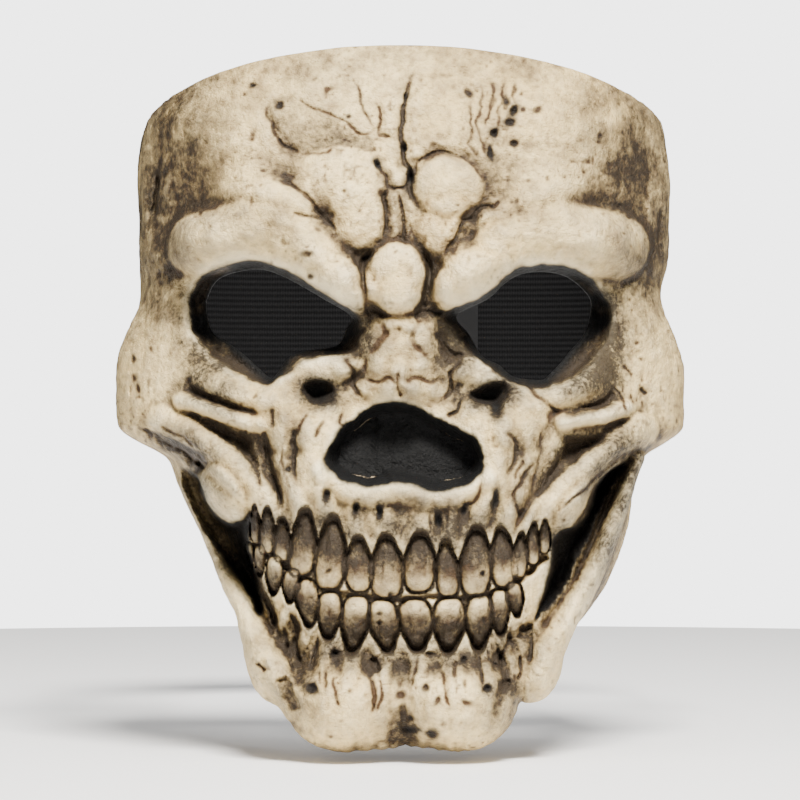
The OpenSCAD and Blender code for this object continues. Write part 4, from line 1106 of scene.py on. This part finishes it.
def make_stitches(name, lines, at, out, body, length=2.6, gap=1.1, r=0.28):
    """Rows of thread stitches. at(u, v) gives a place in mm, and out(u, v) the way out of the cloth."""
    edit = bmesh.new()
    for (u0, v0), (u1, v1) in lines:
        run = math.hypot(u1 - u0, v1 - v0)
        count = max(1, round(run / (length + gap)))
        for k in range(count):
            start = (k + gap / 2 / (length + gap)) / count
            end = (k + 1 - gap / 2 / (length + gap)) / count
            rings = []
            for j in range(7):
                t = start + (end - start) * j / 6
                u, v = u0 + (u1 - u0) * t, v0 + (v1 - v0) * t
                outwards = Vector(out(u, v))
                arch = math.sin(math.pi * j / 6)
                centre = Vector(at(u, v)) + outwards * (0.32 * arch - 0.18)
                ahead = Vector(at(u + (u1 - u0) * 0.01, v + (v1 - v0) * 0.01)) - Vector(at(u, v))
                side = ahead.normalized().cross(outwards)
                rings.append([
                    edit.verts.new((centre + r * (side * math.cos(a) + outwards * math.sin(a))) * MM)
                    for a in np.linspace(0, 2 * math.pi, 7)[:-1]
                ])
            for a, b in zip(rings[:-1], rings[1:]):
                for j in range(6):
                    edit.faces.new((a[j], a[(j + 1) % 6], b[(j + 1) % 6], b[j]))
            edit.faces.new(rings[0][::-1])
            edit.faces.new(rings[-1])
    bmesh.ops.recalc_face_normals(edit, faces=edit.faces)
    mesh = bpy.data.meshes.new(name)
    edit.to_mesh(mesh)
    edit.free()
    mesh.polygons.foreach_set("use_smooth", np.ones(len(mesh.polygons), bool))
    obj = bpy.data.objects.new(name, mesh)
    bpy.context.collection.objects.link(obj)
    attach(obj, body)
    return obj


def box_stitch(u0, v0, u1, v1):
    """A sewn box with a cross in it."""
    a, b, c, d = (u0, v0), (u1, v0), (u1, v1), (u0, v1)
    return [(a, b), (b, c), (c, d), (d, a), (a, c), (b, d)]


# Strap tabs: vinyl, with a rounded end, a pressed border and a soft edge
TAB_IN_X = 72.9
TAB_T = 1.6
TAB_END_R = 12.0
TAB_LEN = 38.0
EYELET_R = 4.0


def tab_outline(inset):
    """Outline of the tab in y and z about the rivet, as the hull of a round end and a wide bar."""
    r = TAB_END_R - inset
    far = TAB_LEN - inset
    near = min(TAB_LEN - 8 + 0.23 * inset, far - 1.6)
    half = STRAP_W / 2 - inset
    reach = math.hypot(near, half)
    lean = math.atan2(half, near) + math.acos(r / reach)
    points = [(r * math.cos(a), r * math.sin(a)) for a in np.linspace(lean, 2 * math.pi - lean, 29)]
    start, end = points[-1], points[0]
    corners = [(near, -half), (far - 1.5, -half), (far, -half + 1.5), (far, half - 1.5),
               (far - 1.5, half), (near, half)]
    outline = points + [start] + corners + [end]
    out = []
    for (ax, az), (bx, bz) in zip(outline[:-1], outline[1:]):
        steps = max(1, int(math.hypot(bx - ax, bz - az) / 1.2))
        out += [(ax + (bx - ax) * k / steps, az + (bz - az) * k / steps) for k in range(steps)]
    return out


def evened(outline, count):
    """The outline as a set number of points, evenly spaced, starting on the far side."""
    ring = np.array(outline + outline[:1])
    travel = np.concatenate([[0], np.cumsum(np.hypot(*np.diff(ring, axis=0).T))])
    where = np.linspace(0, travel[-1], count, endpoint=False)
    return np.stack([np.interp(where, travel, ring[:, k]) for k in (0, 1)], axis=1)


def make_tab(side):
    """Rings of points from the eyelet hole out to the edge and back on the other face."""
    count = 120
    middle = TAB_IN_X + TAB_T / 2
    profile = [(1.0, TAB_T / 2 - 0.04), (2.2, TAB_T / 2 - 0.04), (2.5, TAB_T / 2 - 0.28),
               (2.9, TAB_T / 2 - 0.28), (3.2, TAB_T / 2), (7.0, TAB_T / 2)]
    half_face = [(0.0, 0.0), (0.0, TAB_T / 2 - 0.45), (0.12, TAB_T / 2 - 0.2),
                 (0.45, TAB_T / 2 - 0.07)] + profile
    hole = np.array([
        ((EYELET_R + 0.02) * math.cos(a), (EYELET_R + 0.02) * math.sin(a))
        for a in np.linspace(0, 2 * math.pi, count, endpoint=False)
    ])
    rings = []
    for inset, height in half_face:
        rings.append((evened(tab_outline(inset), count), height))
    start = np.argmin(np.hypot(*(hole - rings[-1][0][0] / np.hypot(*rings[-1][0][0]) * EYELET_R).T))
    hole = np.roll(hole, -start, axis=0)
    rings.append(((rings[-1][0] + 2 * hole) / 3, TAB_T / 2))
    rings.append((hole, TAB_T / 2))
    upper = rings[1:]
    loop = upper[::-1] + [rings[0]] + [(ring, -height) for ring, height in upper]
    points = np.array([
        [(side * (middle + height), ring[k][0], STRAP_Z + ring[k][1]) for k in range(count)]
        for ring, height in loop
    ])
    index = np.arange(len(loop) * count).reshape(len(loop), count)
    ahead = np.roll(index, -1, axis=1)
    quads = np.stack([index, ahead, np.roll(ahead, -1, axis=0), np.roll(index, -1, axis=0)],
                     axis=-1).reshape(-1, 4)
    node = "strap_tab_left" if side < 0 else "strap_tab_right"
    obj = mesh_from_arrays(node + "_vinyl", points.reshape(-1, 3), quads)
    edit = bmesh.new()
    edit.from_mesh(obj.data)
    bmesh.ops.recalc_face_normals(edit, faces=edit.faces)
    edit.to_mesh(obj.data)
    edit.free()
    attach(obj, "strap")
    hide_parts(node)
    return obj


elastics = [make_elastic(node) for node in ROUTES]
tabs = [make_tab(side) for side in (-1, 1)]

threads = []
for side, word in ((-1, "left"), (1, "right")):
    outer_x = side * (TAB_IN_X + TAB_T)
    threads.append(make_stitches(
        f"seam_{word}_outer", box_stitch(26.5, STRAP_Z - 22, 35.5, STRAP_Z + 22),
        lambda u, v, x=outer_x: (x, u, v), lambda u, v, s=side: (s, 0, 0), "strap"))
    inner_x = side * (ELASTIC_X - STRAP_T / 2)
    threads.append(make_stitches(
        f"seam_{word}_inner", box_stitch(26.5, STRAP_Z - 22, 35.5, STRAP_Z + 22),
        lambda u, v, x=inner_x: (x, u, v), lambda u, v, s=side: (-s, 0, 0), "strap"))


# ---------------------------------------------------------------- materials


class Nodes:
    """Small helper for building a material's nodes."""

    def __init__(self, name):
        self.material = bpy.data.materials.new(name)
        self.material.use_nodes = True
        self.tree = self.material.node_tree
        self.shader = self.tree.nodes["Principled BSDF"]
        self.place = self.add("ShaderNodeTexCoord").outputs["Object"]

    def add(self, kind, inputs=None, **properties):
        node = self.tree.nodes.new(kind)
        for key, value in properties.items():
            setattr(node, key, value)
        for key, value in (inputs or {}).items():
            self.put(node.inputs[key], value)
        return node

    def put(self, socket, value):
        if isinstance(value, bpy.types.NodeSocket):
            self.tree.links.new(value, socket)
        else:
            socket.default_value = value

    def set(self, **values):
        for key, value in values.items():
            self.put(self.shader.inputs[key.replace("_", " ")], value)

    def attribute(self, name):
        return self.add("ShaderNodeAttribute", attribute_name=name).outputs["Fac"]

    def noise(self, scale, detail=3.0, place=None, roughness=0.55):
        return self.add(
            "ShaderNodeTexNoise",
            {"Vector": place or self.place, "Scale": scale, "Detail": detail, "Roughness": roughness},
        ).outputs["Fac"]

    def cells(self, scale):
        return self.add(
            "ShaderNodeTexVoronoi", {"Vector": self.place, "Scale": scale}
        ).outputs["Distance"]

    def stretch(self, x, y, z):
        return self.add(
            "ShaderNodeMapping", {"Vector": self.place, "Scale": (x, y, z)}
        ).outputs["Vector"]

    def math(self, operation, a, b=0.0, clamp=False):
        node = self.add("ShaderNodeMath", operation=operation, use_clamp=clamp)
        self.put(node.inputs[0], a)
        self.put(node.inputs[1], b)
        return node.outputs[0]

    def spread(self, value, low, high, to_low=0.0, to_high=1.0):
        return self.add(
            "ShaderNodeMapRange",
            {"Value": value, "From Min": low, "From Max": high, "To Min": to_low, "To Max": to_high},
        ).outputs["Result"]

    def mix(self, factor, a, b, blend="MIX"):
        node = self.add("ShaderNodeMix", data_type="RGBA", blend_type=blend)
        self.put(node.inputs[0], factor)
        self.put(node.inputs[6], a)
        self.put(node.inputs[7], b)
        return node.outputs[2]

    def bump(self, height, distance, strength=1.0, under=None):
        inputs = {"Height": height, "Distance": distance, "Strength": strength}
        if under is not None:
            inputs["Normal"] = under
        return self.add("ShaderNodeBump", inputs).outputs["Normal"]


def painted_latex():
    """Ivory latex with brown wash, grey-black airbrush and black paint over it; the wash and grey also hold
    painted shade in the hollows, and the lighter ridges are partly painted highlight.
    """
    n = Nodes("painted_latex")
    cloud = n.noise(28, 4)
    mottle = n.noise(160, 5, roughness=0.65)
    fine = n.noise(900, 3)
    ivory = n.mix(n.spread(cloud, 0.35, 0.68), (0.90, 0.70, 0.35, 1), (0.79, 0.575, 0.25, 1))
    ivory = n.mix(n.spread(mottle, 0.38, 0.68, 0, 0.75), ivory, (0.48, 0.35, 0.175, 1))
    freckle = n.noise(520, 4, roughness=0.7)
    ivory = n.mix(n.spread(freckle, 0.50, 0.74, 0, 0.6), ivory, (0.36, 0.25, 0.12, 1))
    # Lighter ivory on the ridges: partly rubbed paint, partly painted highlight
    worn_and_highlight = n.math("MULTIPLY", n.attribute("worn_and_highlight"), 0.75)
    ivory = n.mix(worn_and_highlight, ivory, (0.95, 0.83, 0.54, 1))
    breakup = n.spread(mottle, 0.30, 0.70, 0.65, 1.35)
    # Brown wash, with painted shade in the hollows
    brown = n.math("MULTIPLY", n.attribute("wash_and_shade"), breakup, clamp=True)
    colour = n.mix(brown, ivory, (0.085, 0.046, 0.020, 1))
    # Grey-black airbrush, with painted shade in the recesses
    speckle = n.spread(fine, 0.42, 0.62, 1.0, 1.55)
    grey = n.math("MULTIPLY", n.math("MULTIPLY", n.attribute("airbrush_and_shade"), speckle), breakup, clamp=True)
    colour = n.mix(n.math("MULTIPLY", grey, 0.95), colour, (0.030, 0.022, 0.014, 1))
    ink = n.attribute("black")
    colour = n.mix(ink, colour, (0.004, 0.004, 0.004, 1))
    raw = n.mix(n.spread(cloud, 0.35, 0.65), (0.62, 0.50, 0.33, 1), (0.50, 0.39, 0.25, 1))
    inside = n.attribute("inside")
    colour = n.mix(inside, colour, raw)
    roughness = n.spread(mottle, 0.3, 0.7, 0.40, 0.58)
    glossy = n.mix(ink, roughness, (0.6, 0.6, 0.6, 1))
    pores = n.spread(n.cells(1100), 0.0, 0.45, 0.0, 1.0)
    n.set(Base_Color=colour, Roughness=glossy)
    n.set(Specular_IOR_Level=0.2)
    n.set(IOR=1.45)
    n.set(Subsurface_Weight=0.06)
    n.set(Subsurface_Radius=(1.0, 0.6, 0.35))
    n.set(Subsurface_Scale=0.0015)
    leather = n.bump(freckle, 0.0013, 1.0, n.bump(mottle, 0.0016, 0.8))
    skin = n.bump(pores, 0.00012, 0.8, leather)
    n.set(Normal=n.bump(fine, 0.00007, 0.8, skin))
    return n.material


def foam():
    """Open-cell foam, charcoal."""
    n = Nodes("foam")
    cells = n.cells(900)
    lumps = n.noise(120, 4)
    colour = n.mix(n.spread(cells, 0.0, 0.55), (0.010, 0.010, 0.011, 1), (0.060, 0.060, 0.064, 1))
    colour = n.mix(n.spread(lumps, 0.4, 0.7, 0, 0.5), colour, (0.085, 0.083, 0.080, 1))
    n.set(Base_Color=colour, Roughness=0.95, Sheen_Weight=0.25)
    n.set(Normal=n.bump(n.spread(cells, 0.0, 0.6), 0.0005, 1.0, n.bump(lumps, 0.0006, 0.6)))
    return n.material


def woven_elastic():
    """Black knitted elastic: ribs along it, and rows of slanted threads between them."""
    n = Nodes("woven_elastic")
    along = n.attribute("along")
    across = n.attribute("across")
    rib = n.math("COSINE", n.math("MULTIPLY", across, 2 * math.pi / 1.9))
    slant = n.math("MULTIPLY", n.math("ABSOLUTE", rib), 0.7)
    rows = n.math("SINE", n.math("ADD", n.math("MULTIPLY", along, 2 * math.pi / 0.9), slant))
    fuzz = n.noise(2600, 2)
    weave = n.math("ADD", n.math("MULTIPLY", rows, 0.5), n.math("MULTIPLY", rib, 0.5))
    shade = n.spread(weave, -1.0, 1.0)
    colour = n.mix(shade, (0.0015, 0.0015, 0.0017, 1), (0.007, 0.007, 0.0075, 1))
    colour = n.mix(n.spread(fuzz, 0.55, 0.8, 0, 0.6), colour, (0.014, 0.014, 0.015, 1))
    n.set(Base_Color=colour, Roughness=0.95)
    n.set(Specular_IOR_Level=0.1)
    n.set(Normal=n.bump(shade, 0.0003, 0.8, n.bump(fuzz, 0.0001, 0.5)))
    return n.material


def vinyl(name, dark, light):
    """Soft vinyl with a fine leather grain and scuffs."""
    n = Nodes(name)
    grain = n.cells(760)
    scuff = n.noise(90, 5, roughness=0.7)
    colour = n.mix(n.spread(scuff, 0.45, 0.75), dark, light)
    n.set(Base_Color=colour, Roughness=n.spread(scuff, 0.3, 0.7, 0.38, 0.62))
    n.set(Normal=n.bump(n.spread(grain, 0.0, 0.5), 0.00018, 0.7, n.bump(scuff, 0.0003, 0.4)))
    return n.material


def metal(name, colour, tarnish, roughness):
    """Plated metal with fine scratches and dull spots."""
    n = Nodes(name)
    spots = n.noise(340, 5, roughness=0.7)
    scratches = n.noise(1.0, 4, n.stretch(300, 4200, 700))
    paint_mix = n.mix(n.spread(spots, 0.48, 0.72), colour, tarnish)
    n.set(Base_Color=paint_mix, Roughness=n.spread(scratches, 0.3, 0.7, roughness, roughness + 0.22))
    n.set(Metallic=1.0)
    n.set(Normal=n.bump(scratches, 0.00003, 0.5, n.bump(spots, 0.00006, 0.4)))
    return n.material


def moulded_plastic():
    """Black moulded plastic with a fine spark-eroded grain."""
    n = Nodes("moulded_plastic")
    grain = n.noise(1900, 3)
    haze = n.noise(60, 4)
    colour = n.mix(n.spread(haze, 0.4, 0.7), (0.006, 0.006, 0.0065, 1), (0.014, 0.014, 0.015, 1))
    n.set(Base_Color=colour, Roughness=n.spread(haze, 0.3, 0.7, 0.55, 0.7))
    n.set(Specular_IOR_Level=0.15)
    n.set(Normal=n.bump(grain, 0.00006, 0.8))
    return n.material


def canvas():
    """Natural cotton canvas, plain weave, with dried glue soaked in."""
    n = Nodes("canvas")
    place = n.add("ShaderNodeSeparateXYZ", {"Vector": n.place}).outputs
    warp = n.math("SINE", n.math("MULTIPLY", place["Y"], 2 * math.pi / 0.0011))
    weft = n.math("SINE", n.math("MULTIPLY", place["Z"], 2 * math.pi / 0.0011))
    weave = n.math("MULTIPLY", warp, weft)
    glue = n.noise(130, 4)
    colour = n.mix(n.spread(weave, -1, 1), (0.42, 0.35, 0.23, 1), (0.62, 0.54, 0.38, 1))
    colour = n.mix(n.spread(glue, 0.45, 0.7, 0, 0.8), colour, (0.33, 0.24, 0.12, 1))
    n.set(Base_Color=colour, Roughness=n.spread(glue, 0.4, 0.7, 0.9, 0.5))
    n.set(Normal=n.bump(weave, 0.0002, 0.8, n.bump(glue, 0.0003, 0.5)))
    return n.material


def sewing_thread():
    """Waxed black thread with its twist."""
    n = Nodes("sewing_thread")
    twist = n.noise(1.0, 2, n.stretch(4000, 1500, 1500))
    colour = n.mix(twist, (0.02, 0.02, 0.022, 1), (0.10, 0.10, 0.105, 1))
    n.set(Base_Color=colour, Roughness=0.6, Normal=n.bump(twist, 0.0001, 0.8))
    return n.material


def finish_with(material, *objects):
    for obj in objects:
        obj.data.materials.clear()
        obj.data.materials.append(material)


finish_with(painted_latex(), shell)
finish_with(foam(), *foam_pads)
finish_with(woven_elastic(), *elastics)
finish_with(vinyl("tab_vinyl", (0.008, 0.0075, 0.007, 1), (0.030, 0.027, 0.025, 1)), *tabs)
finish_with(sewing_thread(), *threads)


def cad_nodes(*names):
    return [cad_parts[name] for name in names]


finish_with(metal("rivet_metal", (0.62, 0.60, 0.57, 1), (0.30, 0.27, 0.23, 1), 0.24),
            *cad_nodes("rivet_left", "rivet_right", "rivet_washer_left", "rivet_washer_right"))
finish_with(metal("eyelet_metal", (0.75, 0.52, 0.22, 1), (0.34, 0.22, 0.10, 1), 0.28),
            *cad_nodes("eyelet_left", "eyelet_right"))
finish_with(moulded_plastic(), *cad_nodes("strap_ring", "strap_slider"))
finish_with(canvas(), *cad_nodes("temple_patch_left", "temple_patch_right"))

# ---------------------------------------------------------------- floor, light and camera

FLOOR_Z = -0.1262


bpy.ops.mesh.primitive_circle_add(
    vertices=128, radius=0.65, fill_type="NGON", location=(0, 0, FLOOR_Z)
)
floor = bpy.context.object
floor.name = "floor"
floor_material = bpy.data.materials.new("floor")
floor_material.use_nodes = True
floor_shader = floor_material.node_tree.nodes["Principled BSDF"]
for socket, value in (("Base Color", (0.9, 0.9, 0.9, 1)), ("Roughness", 0.7),
                      ("Emission Color", (1, 1, 1, 1)), ("Emission Strength", 0.15)):
    floor_shader.inputs[socket].default_value = value
floor.data.materials.append(floor_material)


def area_light(name, place, target, width, height, watts, colour=(1, 1, 1)):
    light = bpy.data.lights.new(name, "AREA")
    light.shape = "RECTANGLE"
    light.size = width
    light.size_y = height
    light.energy = watts
    light.color = colour
    obj = bpy.data.objects.new(name, light)
    obj.location = place
    aim = Vector(target) - Vector(place)
    obj.rotation_euler = aim.to_track_quat("-Z", "Y").to_euler()
    bpy.context.collection.objects.link(obj)


FACE = (0, -0.08, -0.01)     # what the lights point at
area_light("key", (0.18, -0.95, 1.15), FACE, 0.5, 0.35, 84, (1.0, 0.97, 0.92))
area_light("low_fill", (-0.4, -1.4, 0.1), FACE, 0.6, 0.6, 2, (1.0, 0.97, 0.93))
area_light("top", (0.0, -0.25, 1.3), FACE, 0.7, 0.4, 8)

# A white surround, which lights the object far less than it shows
world = bpy.data.worlds.new("studio")
world.use_nodes = True
surround = world.node_tree.nodes["Background"]
surround.inputs["Color"].default_value = (1, 1, 1, 1)
seen = world.node_tree.nodes.new("ShaderNodeLightPath").outputs["Is Camera Ray"]
strength = world.node_tree.nodes.new("ShaderNodeMapRange")
strength.inputs["To Min"].default_value = 0.14
strength.inputs["To Max"].default_value = 4.0
world.node_tree.links.new(seen, strength.inputs["Value"])
world.node_tree.links.new(strength.outputs["Result"], surround.inputs["Strength"])
bpy.context.scene.world = world

FRONT_DISTANCE = 1.250       # from the camera to the plane of the face, m
FRAME_WIDTH = 0.2353         # width of the view in that plane, m
FACE_PLANE_Y = -0.090
CAMERA_Z = -0.0206

camera_data = bpy.data.cameras.new("camera")
camera_data.sensor_width = 36
camera_data.lens = 36 * FRONT_DISTANCE / FRAME_WIDTH
camera_data.clip_start = 0.05
camera = bpy.data.objects.new("camera", camera_data)
camera.location = (0, FACE_PLANE_Y - FRONT_DISTANCE, CAMERA_Z)
camera.rotation_euler = (math.radians(90), 0, 0)
bpy.context.collection.objects.link(camera)
bpy.context.scene.camera = camera
